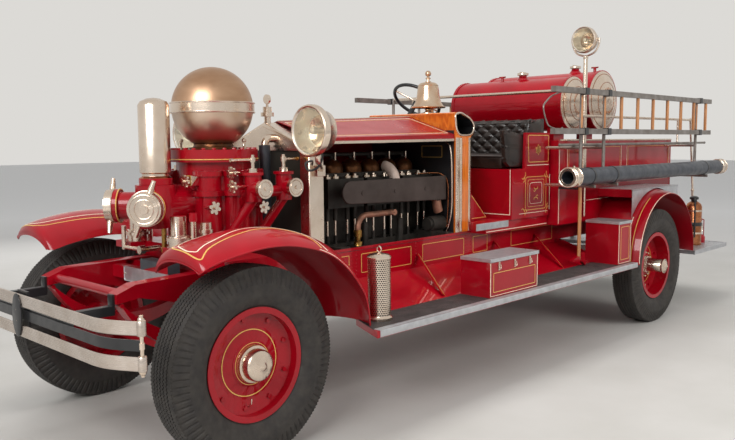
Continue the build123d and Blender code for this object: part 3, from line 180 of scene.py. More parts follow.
# Materials that are one colour with wear: two colours in soft patches, a roughness that drifts, a fine surface grain.
# A row has the colour, the other colour, the patches' size in mm, lowest and highest roughness, the grain's size and
# height in mm, how far it is metal, and what else differs.
shine = dict(coat=0.55, specular=0.15)
wornFinishes = {
    # vehicle enamel under varnish: deep red, mirror-like, with slight waves and faint dust
    "sprayedRedEnamel": ("#980115", "#850110", 260, 0.3, 0.42, 22, 0.05, 0.0, shine),
    # satin black stove enamel on brackets and the back bar
    "stovedBlackEnamel": ("#141416", "#1e1e20", 90, 0.28, 0.45, 6, 0.08, 0.0, dict(coat=0.2)),
    # old nickel plate, hand polished: warm, a little dull, with fine swirls
    "polishedNickelPlate": ("#e8d8c8", "#d9c6b4", 160, 0.2, 0.3, 6, 0.004, 1.0, {}),
    # nickel over spun copper where the copper shows through in clouds
    "wornNickelOverCopper": ("#d8c2ae", "#c4a68f", 420, 0.3, 0.4, 9, 0.01, 1.0, {}),
    # rolled steel strip with a brushed nickel face, as on bumper bars
    "brushedNickelBar": ("#d8cdc4", "#c2b4a8", 120, 0.22, 0.34, 2.5, 0.02, 1.0, dict(stretch=(0.15, 0.15, 6.0))),
    # sand-cast grey iron, oily and heat-browned
    "oilyCastIron": ("#33302c", "#241f1b", 60, 0.42, 0.62, 4, 0.5, 0.35, {}),
    # heat-scaled steel sheet of the exhaust shield
    "scaledSteelSheet": ("#4a403c", "#3a312d", 140, 0.5, 0.66, 5, 0.12, 0.4, {}),
    # mill-finish aluminium sheet and edging, scuffed
    "scuffedAluminium": ("#cdced1", "#b6b7ba", 60, 0.34, 0.46, 5, 0.06, 0.85, {}),
    # aluminium paint on ladder rails and rods, rubbed
    "rubbedAluminiumPaint": ("#8b8580", "#6d655e", 70, 0.36, 0.52, 5, 0.08, 0.55, {}),
    # aged brass with brown in its corners, and polished copper, a little dark
    "agedBrass": ("#b08a4e", "#94703a", 60, 0.2, 0.36, 5, 0.04, 1.0, {}),
    "agedCopper": ("#b87a55", "#94593a", 60, 0.2, 0.34, 5, 0.04, 1.0, {}),
    # laid gold leaf under varnish, and ivory lining paint
    "varnishedGoldLeaf": ("#e2bb6c", "#cd9f4e", 14, 0.3, 0.42, 3, 0.02, 0.35, {}),
    "ivoryLiningPaint": ("#e8d9c4", "#d6c3aa", 16, 0.22, 0.34, 4, 0.02, 0.0, {}),
    # moulded tyre rubber with dust in its grooves
    "mouldedTyreRubber": ("#34302c", "#242120", 55, 0.62, 0.8, 2.5, 0.12, 0.0, {}),
    # rubber-covered hose, blue-black and rubbed grey where it is lifted
    "wrappedHoseRubber": ("#23262c", "#3a3d44", 90, 0.35, 0.55, 5, 0.15, 0.0, dict(coat=0.1)),
    # heads of the cylinders, copper-bronzed by heat
    "heatBronzedIron": ("#6e4528", "#3f2818", 45, 0.3, 0.45, 4, 0.2, 0.8, {}),
    # baked pale enamel on the bend above the shield, and a steel pipe flushed salmon by the exhaust
    "bakedPaleEnamel": ("#b3a093", "#97857a", 50, 0.4, 0.55, 4, 0.05, 0.0, {}),
    "flushedSteelPipe": ("#a87660", "#7d5a4a", 40, 0.35, 0.5, 4, 0.05, 0.5, {}),
    # grey machine paint on the small box between the horns
    "greyMachinePaint": ("#3c4246", "#30353a", 60, 0.4, 0.55, 4, 0.05, 0.0, {}),
    "mouldedRubberMat": ("#3a3534", "#2a2625", 120, 0.4, 0.6, 4, 0.15, 0.0, {}),
}


def wornMaterial(name, colour, other, patch, low, high, grain, height, metal, coat=0.0, stretch=None, specular=0.5):
    tree, shader, coords = startMaterial(name, colour, low, metal, coat, {"Specular IOR Level": specular})
    patches(tree, shader, noise(tree, coords, patch, 4.0), colour, other)
    roughen(tree, shader, noise(tree, coords, patch * 0.6, 2.5, 0.5, stretch), low, high)
    bump(tree, shader, noise(tree, coords, grain, 2.0, 0.5, stretch), height)


for name, (*row, extras) in wornFinishes.items():
    wornMaterial(name, *row, **extras)


def varnishedWood(name, colour, other, dark, drawnOut):
    # sawn hardwood under varnish: growth rings drawn out along Z, an orange-brown glow
    tree, shader, coords = startMaterial(name, colour, 0.22, coat=0.8)
    drawn = addNode(tree, "Mapping", {"Vector": coords, "Scale": (1.0, 1.0, drawnOut)}).outputs["Vector"]
    warp = addNode(tree, "TexNoise", {"Vector": drawn, "Scale": perMetre(60), "Detail": 4.0}).outputs["Fac"]
    rings = addNode(tree, "TexWave", {"Vector": drawn, "Scale": perMetre(55), "Distortion": 7.0, "Detail": 3.0,
                                      "Detail Scale": 1.5}).outputs["Fac"]
    tone = mixColours(tree, mapped(tree, rings, 0.0, 1.0, 0.1, 0.9), colour, other)
    paint(tree, shader, mixColours(tree, mapped(tree, warp, 0.0, 0.5, 0.5, 0.8), tone, dark))
    bump(tree, shader, rings, 0.06)


def buttonedLeather():
    # black hide, oiled: fine pebble grain of about 2 mm drawn at 4 mm to show, shine on the crowns
    tree, shader, coords = startMaterial("oiledBlackLeather", "#15100e", 0.36, coat=0.15)
    cells = addNode(tree, "TexVoronoi", {"Vector": coords, "Scale": perMetre(4)}, feature="DISTANCE_TO_EDGE")
    wear = noise(tree, coords, 80, 4.0)
    patches(tree, shader, wear, "#120e0c", "#2a211d")
    roughen(tree, shader, wear, 0.28, 0.46)
    bump(tree, shader, cells.outputs["Distance"], 0.6, 0.5)


def lampGlass():
    # pressed clear glass in front of a silvered bowl, slightly yellow with age
    tree, shader, coords = startMaterial("pressedLampGlass", "#f4efe2", 0.04,
                                         sockets={"IOR": 1.5, "Transmission Weight": 1.0})
    bump(tree, shader, noise(tree, coords, 30, 2.0), 0.1, 0.2)


def silveredBowl():
    # spun brass bowl, silver plated and bright, yellowed towards its edge
    tree, shader, coords = startMaterial("silveredBowl", "#f6f2ea", 0.3, 0.3)
    cloud = noise(tree, coords, 60, 3.0)
    patches(tree, shader, cloud, "#f7f4ee", "#f1ece2")
    roughen(tree, shader, cloud, 0.24, 0.34)


def treadAluminium():
    # rolled aluminium tread sheet: raised ribs both ways, worn bright on top. A wave's bands lie 0.314 of its cell
    # apart, so cells of 12 mm give ribs 3.8 mm apart
    tree, shader, coords = startMaterial("rolledTreadAluminium", "#c4c5c8", 0.4, 0.8)
    ribs = [addNode(tree, "TexWave", {"Vector": coords, "Scale": perMetre(12)}, bands_direction=way).outputs["Fac"]
            for way in "XY"]
    both = addNode(tree, "Math", {0: ribs[0], 1: ribs[1]}, operation="MULTIPLY").outputs[0]
    paint(tree, shader, mixColours(tree, both, "#a0a1a5", "#dcdde0"))
    roughen(tree, shader, noise(tree, coords, 70), 0.25, 0.45)
    bump(tree, shader, both, 1.2)


def radiatorCore():
    # black-painted honeycomb of brass tubes about 9 mm across, drawn at 12 mm to show; the cells' near-black middles
    # are painted shade
    tree, shader, coords = startMaterial("honeycombCore", "#15140f", 0.5, 0.3)
    cells = addNode(tree, "TexVoronoi", {"Vector": coords, "Scale": perMetre(12), "Randomness": 0.0},
                    feature="DISTANCE_TO_EDGE").outputs["Distance"]
    # painted shade: near black in the middle of each cell, down inside its tube, lighter at the tube's rim
    paint(tree, shader, mixColours(tree, mapped(tree, cells, 0.0, 1.0, 0.05, 0.25), "#2d2a22", "#060605"))
    bump(tree, shader, cells, 3.0)


def louvrePanel():
    # red enamel over sheet pressed with fine slanting ribs: cells of 28 mm give ribs 8.8 mm apart
    tree, shader, coords = startMaterial("enamelledLouvrePanel", "#a60415", 0.28, coat=0.25,
                                         sockets={"Specular IOR Level": 0.25})
    slanted = addNode(tree, "Mapping", {"Vector": coords, "Rotation": (0.0, 0.0, math.radians(38))}).outputs["Vector"]
    ribs = addNode(tree, "TexWave", {"Vector": slanted, "Scale": perMetre(28)}).outputs["Fac"]
    clouds = noise(tree, coords, 240, 4.0)
    tone = mixColours(tree, mapped(tree, clouds, 0.0, 1.0), "#b10718", "#9a0413")
    # painted shade: dark red in the grooves between the ribs, the panel's own cloudy red on the ribs
    paint(tree, shader, mixColours(tree, mapped(tree, ribs, 0.0, 1.0, 0.35, 0.75), "#5c020d", tone))
    roughen(tree, shader, clouds, 0.26, 0.36)
    bump(tree, shader, ribs, 0.6)


def spunBronze():
    # the upper half of the ball: nickel gone, warm bronze with soft darker clouds drawn round it
    tree, shader, coords = startMaterial("spunBronze", "#cfae92", 0.36, 1.0)
    patches(tree, shader, noise(tree, coords, 300, 4.0, 0.55, (1.0, 1.0, 3.0)), "#c9a486", "#b18a6c")
    roughen(tree, shader, noise(tree, coords, 60), 0.32, 0.42)
    bump(tree, shader, noise(tree, coords, 8, 2.0), 0.02)


def bellNickel():
    # nickel over bell brass, worn rosy on the waist
    tree, shader, coords = startMaterial("bellNickel", "#dcc6ae", 0.22, 1.0)
    patches(tree, shader, noise(tree, coords, 120, 3.0, 0.5, (1.0, 1.0, 0.6)), "#e0cdb6", "#d0a98a")
    roughen(tree, shader, noise(tree, coords, 40), 0.18, 0.3)
    bump(tree, shader, noise(tree, coords, 6, 2.0), 0.02)


varnishedWood("varnishedCherryPanel", "#d4741f", "#bd5c14", "#8a380c", 0.12)
varnishedWood("varnishedAshRung", "#b98050", "#9c6436", "#7a4a24", 0.1)
for makeFinish in (buttonedLeather, lampGlass, silveredBowl, treadAluminium, radiatorCore, louvrePanel, spunBronze,
                   bellNickel):
    makeFinish()
print("materials made:", len(finish))

# short names for the finishes that come up again and again, and the slot that each finish belongs to
red, black, nickel, alloy = "sprayedRedEnamel", "stovedBlackEnamel", "polishedNickelPlate", "scuffedAluminium"
gold, ivory, copper, rubbed = "varnishedGoldLeaf", "ivoryLiningPaint", "agedCopper", "rubbedAluminiumPaint"
hose, leather, ash = "wrappedHoseRubber", "oiledBlackLeather", "varnishedAshRung"
slotOf = {red: "red_paint", black: "black_paint", nickel: "nickel", alloy: "aluminium", gold: "brass",
          copper: "brass",
          rubbed: "aluminium", hose: "hose_rubber", leather: "leather", "mouldedTyreRubber": "tyre",
          "mouldedRubberMat": "hose_rubber", "brushedNickelBar": "nickel", "bellNickel": "nickel",
          "silveredBowl": "nickel", "heatBronzedIron": "nickel", "honeycombCore": "black_paint",
          "enamelledLouvrePanel": "red_paint", "oilyCastIron": "iron", "scaledSteelSheet": "iron",
          "varnishedCherryPanel": "ash_wood"}


# Shape helpers: a shape is its points and a list of face tables

def gridShape(points, wrapU=False, wrapV=False):
    # each point of the table joins its neighbours along both directions; a row of equal points becomes a pole
    rows, columns = points.shape[:2]
    index = np.arange(rows * columns).reshape(rows, columns)
    if wrapU:
        index = np.vstack([index, index[:1]])
    if wrapV:
        index = np.hstack([index, index[:, :1]])
    quads = np.stack([index[:-1, :-1], index[1:, :-1], index[1:, 1:], index[:-1, 1:]], -1).reshape(-1, 4)
    return points.reshape(-1, 3), [quads]


def weld(points, faces):
    # equal points become one, and a quad that loses a corner becomes a triangle
    unique, inverse = np.unique(np.round(points, 6), axis=0, return_inverse=True)
    inverse = inverse.ravel()
    kept = []
    for table in faces:
        table = inverse[table]
        if table.shape[1] != 4:
            kept.append(table)
            continue
        same = table == np.roll(table, -1, axis=1)
        whole = ~same.any(axis=1)
        kept.append(table[whole])
        corner = same.sum(axis=1) == 1
        if corner.any():
            cut = table[corner]
            drop = same[corner].argmax(axis=1)
            keep = np.ones(cut.shape, bool)
            keep[np.arange(len(cut)), drop] = False
            kept.append(cut[keep].reshape(-1, 3))
    return unique, [table for table in kept if len(table)]


def outward(shape):
    # six times the volume is the sum of a . (b x c) over the triangles; a negative one means inside out
    points, faces = shape
    volume = 0.0
    for table in faces:
        for k in range(1, table.shape[1] - 1):
            a, b, c = points[table[:, 0]], points[table[:, k]], points[table[:, k + 1]]
            volume += np.einsum("ij,ij->", a - points[0], np.cross(b - points[0], c - points[0]))
    if volume < 0:
        faces = [table[:, ::-1] for table in faces]
    return points, faces


def turned(profile, centre, axis=(0, 0, 1), steps=48):
    # profile rows are (radius, distance along the axis); each is turned round the axis through centre
    axis = np.array(Vector(axis).normalized())
    side = np.cross(axis, (0.0, 0.0, 1.0) if abs(axis[2]) < 0.9 else (1.0, 0.0, 0.0))
    side /= np.linalg.norm(side)
    other = np.cross(axis, side)
    profile = np.array(profile, float)
    angle = around(steps)
    ring = np.cos(angle)[:, None] * side + np.sin(angle)[:, None] * other
    points = np.array(centre) + profile[:, None, 1:2] * axis + profile[:, None, 0:1] * ring[None]
    return outward(weld(*gridShape(points, wrapV=True)))


def carried(section, path, up=(0, 0, 1), closed=False):
    # section rows are (sideways, upwards), set square to the path at each of its points; corners are mitred
    path = np.array(path, float)
    section = np.array(section, float)
    step = np.roll(path, -1, axis=0) - path
    if not closed:
        step[-1] = step[-2]
    step /= np.linalg.norm(step, axis=1)[:, None]
    before = np.roll(step, 1, axis=0)
    if not closed:
        before[0] = step[0]
    tangent = step + before
    tangent /= np.linalg.norm(tangent, axis=1)[:, None]
    upward = np.broadcast_to(np.array(up, float), path.shape)
    sideways = np.cross(tangent, upward)
    sideways /= np.linalg.norm(sideways, axis=1)[:, None]
    upward = np.cross(sideways, tangent)
    mitre = 1 / np.clip(np.einsum("ij,ij->i", step, tangent), 0.4, 1)
    points = (path[:, None] + section[None, :, :1] * (sideways * mitre[:, None])[:, None]
              + section[None, :, 1:] * upward[:, None])
    shape, faces = gridShape(points, wrapU=closed, wrapV=True)
    if not closed:
        count = len(section)
        last = (len(path) - 1) * count
        faces = faces + [np.arange(count)[None, ::-1], np.arange(last, last + count)[None]]
    return outward((shape, faces))


def circle(radius, sides=12):
    return radius * np.stack([np.cos(around(sides)), np.sin(around(sides))], -1)


def strip(width, height):
    return np.array([(-width / 2, 0), (width / 2, 0), (width / 2, height), (-width / 2, height)])


def bent(points, radius, steps=6):
    # a path with its corners rounded: at each corner a quadratic curve joins the two runs, radius back from it
    points = [Vector(p) for p in points]
    made = [points[0]]
    for before, corner, after in zip(points, points[1:], points[2:]):
        reach = min(radius, (before - corner).length / 2, (after - corner).length / 2)
        start = corner + (before - corner).normalized() * reach
        end = corner + (after - corner).normalized() * reach
        for t in np.linspace(0, 1, steps):
            made.append(start.lerp(corner, t).lerp(corner.lerp(end, t), t))
    made.append(points[-1])
    kept = [p for p, last in zip(made[1:], made) if (p - last).length > 1e-5]
    return np.array([tuple(p) for p in [made[0]] + kept])


def pipe(points, radius, bend=0.0, sides=12, closed=False):
    path = bent(points, bend) if bend else np.array(points, float)
    # the axis that the path runs along least keeps the section from turning over
    run = np.diff(path, axis=0)
    run /= np.linalg.norm(run, axis=1)[:, None]
    up = np.zeros(3)
    up[np.abs(run).max(axis=0).argmin()] = 1
    return carried(circle(radius, sides), path, up, closed)


def wire(path, radius, up=(0, 0, 1), sides=8):
    # a round bar bent into a closed loop
    return carried(circle(radius, sides), path, up, True)


def block(low, high):
    # a box between two corners; pieces made of these get their edges rounded
    corners = np.array([[x, y, z] for z in (low[2], high[2]) for y in (low[1], high[1]) for x in (low[0], high[0])])
    quads = np.array([[0, 2, 3, 1], [4, 5, 7, 6], [0, 1, 5, 4], [2, 6, 7, 3], [0, 4, 6, 2], [1, 3, 7, 5]])
    return outward((corners, [quads]))


def scattered(shape, places, axes):
    # copies of one shape: its Z turns to each axis and its origin goes to each place
    points, faces = shape
    axes = np.array(axes, float).reshape(-1, 3)
    axes /= np.linalg.norm(axes, axis=1)[:, None]
    places = np.array(places, float).reshape(-1, 3)
    axes = np.broadcast_to(axes, places.shape)
    helper = np.where(np.abs(axes[:, 2:]) < 0.9, [[0.0, 0.0, 1.0]], [[1.0, 0.0, 0.0]])
    side = np.cross(helper, axes)
    side /= np.linalg.norm(side, axis=1)[:, None]
    other = np.cross(axes, side)
    turns = np.stack([side, other, axes], -1)
    made = np.einsum("nij,pj->npi", turns, points) + places[:, None]
    offsets = (np.arange(len(places)) * len(points))[:, None, None]
    return made.reshape(-1, 3), [(table[None] + offsets).reshape(-1, table.shape[1]) for table in faces]


def studs(kind, size, places, axes):
    # copies of one piece of hardware, whose own radius is 1
    return scattered((kind[0] * size, kind[1]), places, axes)


def mirrored(shape):
    # the same shape on the other side of the vehicle, its faces turned back outwards
    return shape[0] * np.array([1, -1, 1]), [table[:, ::-1] for table in shape[1]]


def joined(shapes):
    points, faces, start = [], [], 0
    for shapePoints, shapeFaces in shapes:
        points.append(shapePoints)
        faces += [table + start for table in shapeFaces]
        start += len(shapePoints)
    return np.vstack(points), faces


def makeMesh(name, shapes):
    points, faces = joined(shapes)
    mesh = bpy.data.meshes.new(name)
    loops = np.concatenate([table.ravel() for table in faces])
    sizes = np.concatenate([np.full(len(table), table.shape[1]) for table in faces])
    mesh.vertices.add(len(points))
    mesh.loops.add(len(loops))
    mesh.polygons.add(len(sizes))
    mesh.vertices.foreach_set("co", points.astype(np.float32).ravel())
    mesh.loops.foreach_set("vertex_index", loops.astype(np.int32))
    mesh.polygons.foreach_set("loop_start", np.concatenate([[0], np.cumsum(sizes)[:-1]]).astype(np.int32))
    mesh.polygons.foreach_set("loop_total", sizes.astype(np.int32))
    mesh.update(calc_edges=True)
    mesh.validate()
    return mesh


def finishPiece(piece, materials, body, standsFor, bevel, sharp, slot=None):
    for material in materials:
        piece.data.materials.append(finish[material])
    piece.data.shade_smooth()
    piece.data.set_sharp_from_angle(angle=math.radians(sharp))
    if bevel:
        rounding = piece.modifiers.new("rounding", "BEVEL")
        rounding.width = bevel
        # a heavy piece gets one facet on each edge, a light one two
        rounding.segments = 2 if len(piece.data.polygons) < 9000 else 1
        rounding.limit_method = "ANGLE"
        rounding.angle_limit = math.radians(40)
        rounding.harden_normals = True
    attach(piece, body)
    slot = slot or slotOf.get(materials[0])
    if standsFor:
        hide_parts(*standsFor)
    return piece


def makePiece(name, shapes, material, body="chassis", standsFor=(), bevel=0.0, sharp=35):
    return finishPiece(newObject(name, makeMesh(name, shapes)), [material], body, standsFor, bevel, sharp)


def dressNode(node, material, rules=(), cuts=(), slot=None, bevel=0.0015):
    # a welded copy of a node's mesh with rounded edges; cuts (axis, value) split its faces along planes, and each
    # rule (material, test) dresses the faces whose centres and normals pass its test
    source = nodes[node]
    mesh = source.data.copy()
    mesh.name = node + "_dressed"
    mesh.materials.clear()
    work = bmesh.new()
    work.from_mesh(mesh)
    bmesh.ops.remove_doubles(work, verts=work.verts, dist=1e-5)
    for axis, value in cuts:
        place, normal = Vector((0, 0, 0)), Vector((0, 0, 0))
        place[axis], normal[axis] = value, 1
        bmesh.ops.bisect_plane(work, geom=work.verts[:] + work.edges[:] + work.faces[:], dist=1e-6,
                               plane_co=place, plane_no=normal)
    work.normal_update()
    centres = np.array([tuple(face.calc_center_median()) for face in work.faces])
    normals = np.array([tuple(face.normal) for face in work.faces])
    chosen = np.zeros(len(centres), np.int32)
    for number, (_, test) in enumerate(rules, 1):
        chosen[test(centres, normals)] = number
    for face, number in zip(work.faces, chosen.tolist()):
        face.material_index = number
    bmesh.ops.dissolve_limit(work, angle_limit=math.radians(0.5), verts=work.verts, edges=work.edges,
                             delimit={"MATERIAL"})
    work.to_mesh(mesh)
    work.free()
    finishPiece(newObject(node + "_dressed", mesh), [material] + [name for name, _ in rules], source["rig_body"],
                (node,),
                bevel, 30, slot)


def within(x=(-9, 9), y=(-9, 9), z=(-9, 9), way=np.array):
    # faces whose centres lie in this box
    def test(c, n):
        ranges = ((c[:, 0], x), (way(c[:, 1]), y), (c[:, 2], z))
        return np.all([(value > low) & (value < high) for value, (low, high) in ranges], axis=0)
    return test


def beside(y, x=(-9, 9), z=(-9, 9)):
    # the same on both sides of the vehicle: y is a range of distances from its middle
    return within(x, y, z, np.abs)


def eitherOf(*tests):
    return lambda c, n: np.any([test(c, n) for test in tests], axis=0)


# Places that the frame gives
surfaces = {}


def laidOn(node, points, direction):
    # where rays from these points meet the node's surface, with the surface's own normals
    if node not in surfaces:
        surfaces[node] = treeOf(nodes[node].data)
    places, normals = [], []
    for point in points:
        place, normal, _, _ = surfaces[node].ray_cast(Vector(point), Vector(direction))
        if place is not None:
            places.append(tuple(place))
            normals.append(tuple(normal if normal.dot(Vector(direction)) < 0 else -normal))
    return np.array(places), np.array(normals)


def boxOf(node):
    low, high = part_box(node)
    return np.array(low), np.array(high)


def wheelPlace(corner):
    low, high = boxOf(corner + "_tyre")
    return (low + high) / 2, (high[2] - low[2]) / 2, (high[1] - low[1]) / 2


frontAxle = wheelPlace("front_left")[0]


def ahead(distance):
    # X at this distance in front of the front axle
    return frontAxle[0] + distance


# Upholstery: each pad is its solid's own mesh, remeshed, blown up as cloth, then buttoned and piped
padForm = dict(
    voxel=0.0085,
    inset=0.011,          # the pad starts this much inside its solid
    cap=0.0105,           # and a point may move this far as it swells
    pressure=4.0,
    frames=20,
    tuftWide=0.062,       # half the distance between two buttons of a row
    tuftHigh=0.046,       # distance between two rows
    tuftDeep=0.024,
    crownDrop=0.014,      # the cushion's edges lie this much below its middle
    seatSink=0.010,       # two sunk places, seatApart to each side of the middle
    seatApart=0.27,
    sidePull=0.006,
    seamDeep=0.004,
)


def gridNoise(points):
    # a slow wave over the hide, so that no two tufts are alike
    x, y, z = points.T
    return np.sin(y * 23 + z * 7) * np.cos(x * 19 - z * 11 + y * 5)


def swollen(node):
    piece = newObject(node + "_upholstery", nodes[node].data.copy())
    cells = piece.modifiers.new("cells", "REMESH")
    cells.mode = "VOXEL"
    cells.voxel_size = padForm["voxel"]
    view = bpy.context.evaluated_depsgraph_get()
    mesh = bpy.data.meshes.new_from_object(piece.evaluated_get(view))
    piece.modifiers.remove(cells)
    piece.data = mesh
    mesh.materials.clear()
    normals = gathered(mesh.vertices, "normal")
    start = gathered(mesh.vertices, "co") - normals * padForm["inset"]
    mesh.vertices.foreach_set("co", start.ravel())
    mesh.update()
    cloth = piece.modifiers.new("swelling", "CLOTH")
    cloth.settings.use_pressure = True
    cloth.settings.uniform_pressure_force = padForm["pressure"]
    cloth.settings.effector_weights.gravity = 0
    for frame_number in range(1, padForm["frames"] + 1):
        bpy.context.scene.frame_set(frame_number)
    view = bpy.context.evaluated_depsgraph_get()
    way = gathered(piece.evaluated_get(view).to_mesh().vertices, "co") - start
    piece.evaluated_get(view).to_mesh_clear()
    piece.modifiers.remove(cloth)
    bpy.context.scene.frame_set(1)
    length = np.linalg.norm(way, axis=1)[:, None]
    return piece, start + way * np.minimum(1, padForm["cap"] / np.maximum(length, 1e-9))


def setPlaces(piece, places):
    piece.data.vertices.foreach_set("co", np.asarray(places, float).ravel())
    piece.data.update()
    return gathered(piece.data.vertices, "normal")


def ramp(value, low, high):
    # 0 below low, 1 above high, and t * t * (3 - 2 t) between them
    t = np.clip((value - low) / (high - low), 0, 1)
    return t * t * (3 - 2 * t)


def makeCushion():
    piece, places = swollen("seat_cushion")
    low, high = boxOf("seat_cushion")
    middle, half = (low + high) / 2, (high - low) / 2
    # crowned in the middle, sunk a little where the two people sit
    u, v = (places[:, 0] - middle[0]) / half[0], (places[:, 1] - middle[1]) / half[1]
    top = ramp(places[:, 2], middle[2], high[2] - 0.01)
    crown = (1 - np.clip(abs(u), 0, 1) ** 2.6) * (1 - np.clip(abs(v), 0, 1) ** 4)
    # two soft hollows: a bell curve 0.16 m wide round each place
    aside, forward = abs(places[:, 1]) - padForm["seatApart"], places[:, 0] - middle[0]
    sunk = padForm["seatSink"] * np.exp(-(aside / 0.16) ** 2 - (forward / 0.16) ** 2)
    places[:, 2] -= top * (padForm["crownDrop"] * (1 - crown) + sunk)
    # the sides pull in between the corners
    places[:, 0] -= np.sign(u) * padForm["sidePull"] * np.clip(1 - abs(v), 0, 1) * ramp(abs(u), 0.8, 1) * (1 - top)
    # sewn edge: a valley below the piping
    valley = np.exp(-((places[:, 2] - (high[2] - 0.034)) / 0.006) ** 2)[:, None]
    places -= setPlaces(piece, places) * padForm["seamDeep"] * valley
    setPlaces(piece, places)
    finishPiece(piece, [leather], "chassis", ("seat_cushion",), 0, 75)
    radius, seam = 0.004, high[2] - 0.027
    edge = rounded([(high[0] - radius, high[1] - radius, seam), (low[0] + radius, high[1] - radius, seam),
                    (low[0] + radius, low[1] + radius, seam), (high[0] - radius, low[1] + radius, seam)], 0.035)
    makePiece("seat_cushion_piping", [wire(edge, radius)], leather)


def makeBack():
    piece, places = swollen("seat_back")
    low, high = boxOf("seat_back")
    normals = setPlaces(piece, places)
    wide, tall, deep = padForm["tuftWide"], padForm["tuftHigh"], padForm["tuftDeep"]
    backFace, firstRow = low[0] + 0.119, 1.56
    buttons, outs = [], []
    sunk = np.zeros(len(places))
    for across, weight in (
            # the back's own front, then the inner faces of the arms
            (places[:, 1], ramp(normals[:, 0], 0.25, 0.8) * ramp(0.56 - abs(places[:, 1]), 0, 0.03)
             * ramp(low[0] + 0.17 - places[:, 0], 0, 0.02) * ramp(places[:, 2], firstRow - 0.06, firstRow)),
            (places[:, 0] - backFace, ramp(-normals[:, 1] * np.sign(places[:, 1]), 0.25, 0.8)
             * ramp(places[:, 0], backFace + 0.02, backFace + 0.05) * ramp(places[:, 2], firstRow - 0.06, firstRow))):
        s, t = across / wide, (places[:, 2] - firstRow) / tall
        folds = abs(np.sin(np.pi * (s + t) / 2) * np.sin(np.pi * (s - t) / 2))
        pillow = np.clip(folds, 0, 1) ** 0.38
        near = np.exp(-((np.mod(s + t + 1, 2) - 1) ** 2 + (np.mod(s - t + 1, 2) - 1) ** 2) / 0.07)
        sunk += weight * (deep * (1 - pillow) + 0.006 * near)
    places = places - normals * (sunk * (1 + 0.12 * gridNoise(places)))[:, None]
    # top roll: gathers that run back from the last row of tufts
    top = ramp(normals[:, 2], 0.2, 0.7) * ramp(places[:, 2], 1.72, 1.76)
    run = np.where(abs(places[:, 1]) < 0.54, places[:, 1], places[:, 0] - backFace)
    places[:, 2] -= top * 0.007 * (1 - abs(np.sin(np.pi * run / wide / 2)) ** 0.5)
    # the arm's front and outside: a valley inside the welt
    front = ramp(normals[:, 0], 0.5, 0.9) * ramp(places[:, 0], low[0] + 0.3, low[0] + 0.4)
    places = places - normals * (front * 0.004 * (1 + gridNoise(places * 2)))[:, None]
    setPlaces(piece, places)
    finishPiece(piece, [leather], "chassis", ("seat_back",), 0, 80)
    # buttons where the folds cross
    for row in range(7):
        z = firstRow + row * tall
        for column in range(-9, 10):
            y = column * wide
            if (row + column) % 2 == 0 and abs(y) < 0.53:
                buttons.append((low[0] + 0.2, y, z))
                outs.append((-1, 0, 0))
    spots, ways = castOn(piece.data, buttons, outs)
    buttons, outs = list(spots), list(ways)
    armSpots = [(backFace + c * wide, 0.45 * side, firstRow + r * tall) for r in range(5) for c in range(1, 9)
                for side in (1, -1) if (r + c) % 2 == 0 and backFace + c * wide < high[0] - 0.05]
    spots, ways = castOn(piece.data, armSpots, [(0, math.copysign(1, y), 0) for _, y, _ in armSpots])
    buttons += list(spots)
    outs += list(ways)
    makePiece("seat_back_buttons", [studs(button, 0.009, buttons, outs)], leather)


def castOn(mesh, points, directions):
    # where these rays meet the mesh, and the way back along each ray
    tree = treeOf(mesh)
    places, ways = [], []
    for point, direction in zip(points, directions):
        spot = tree.ray_cast(Vector(point), Vector(direction))[0]
        if spot is not None:
            places.append(tuple(spot))
            ways.append(tuple(-c for c in direction))
    return places, ways


# Small hardware, in units of its own radius, standing on Z
acorn = turned([(0, 0), (1, 0), (1, 0.55), (0.92, 0.75), (0.6, 1.05), (0.25, 1.2), (0, 1.24)], (0, 0, 0), steps=10)
button = turned([(0, -0.3), (1, -0.3), (1, 0.1), (0.8, 0.42), (0.4, 0.6), (0, 0.66)], (0, 0, 0), steps=10)
hexNut = turned([(0, -0.2), (1, -0.2), (1, 0.62), (0.86, 0.78), (0, 0.8)], (0, 0, 0), steps=6)


def rounded(corners, radius, steps=5):
    # a closed outline with its corners rounded
    corners = [np.array(c, float) for c in corners]
    made = []
    for before, corner, after in zip(corners[-1:] + corners[:-1], corners, corners[1:] + corners[:1]):
        start = corner + (before - corner) / np.linalg.norm(before - corner) * radius
        end = corner + (after - corner) / np.linalg.norm(after - corner) * radius
        for t in np.linspace(0, 1, steps):
            made.append((1 - t) ** 2 * start + 2 * t * (1 - t) * corner + t ** 2 * end)
    return np.array(made)


makeCushion()
makeBack()
print("upholstery made")

# Tyres: a moulded section turned round the axle, with zigzag ribs and shoulder lugs
tyreForm = dict(
    lugs=84,            # shoulder lugs round the tyre, about 39 mm apart
    zigzag=0.0050,      # sideways swing of the grooves
    grooveDepth=0.008,
    grooveHalf=0.0030,
    grooves=(-0.056, -0.028, 0.0, 0.028, 0.056),
    treadHalf=0.0905,
    crown=0.0045,       # how much lower the tread is at its edges
    stepDown=0.0055,    # from the tread to the shoulder
    shoulderGroove=0.007,
)


def smoothThrough(points, steps):
    # Catmull-Rom curve: between two points, a cubic whose slopes come from the neighbours
    points = np.array(points, float)
    padded = np.vstack([2 * points[0] - points[1], points, 2 * points[-1] - points[-2]])
    t = np.linspace(0, 1, steps, endpoint=False)[:, None]
    made = []
    for a, b, c, d in zip(padded, padded[1:], padded[2:], padded[3:]):
        cubic = (3 * b - a - 3 * c + d) * t ** 3
        made.append(0.5 * (2 * b + (c - a) * t + (2 * a - 5 * b + 4 * c - d) * t ** 2 + cubic))
    return np.vstack(made + [points[-1:]])


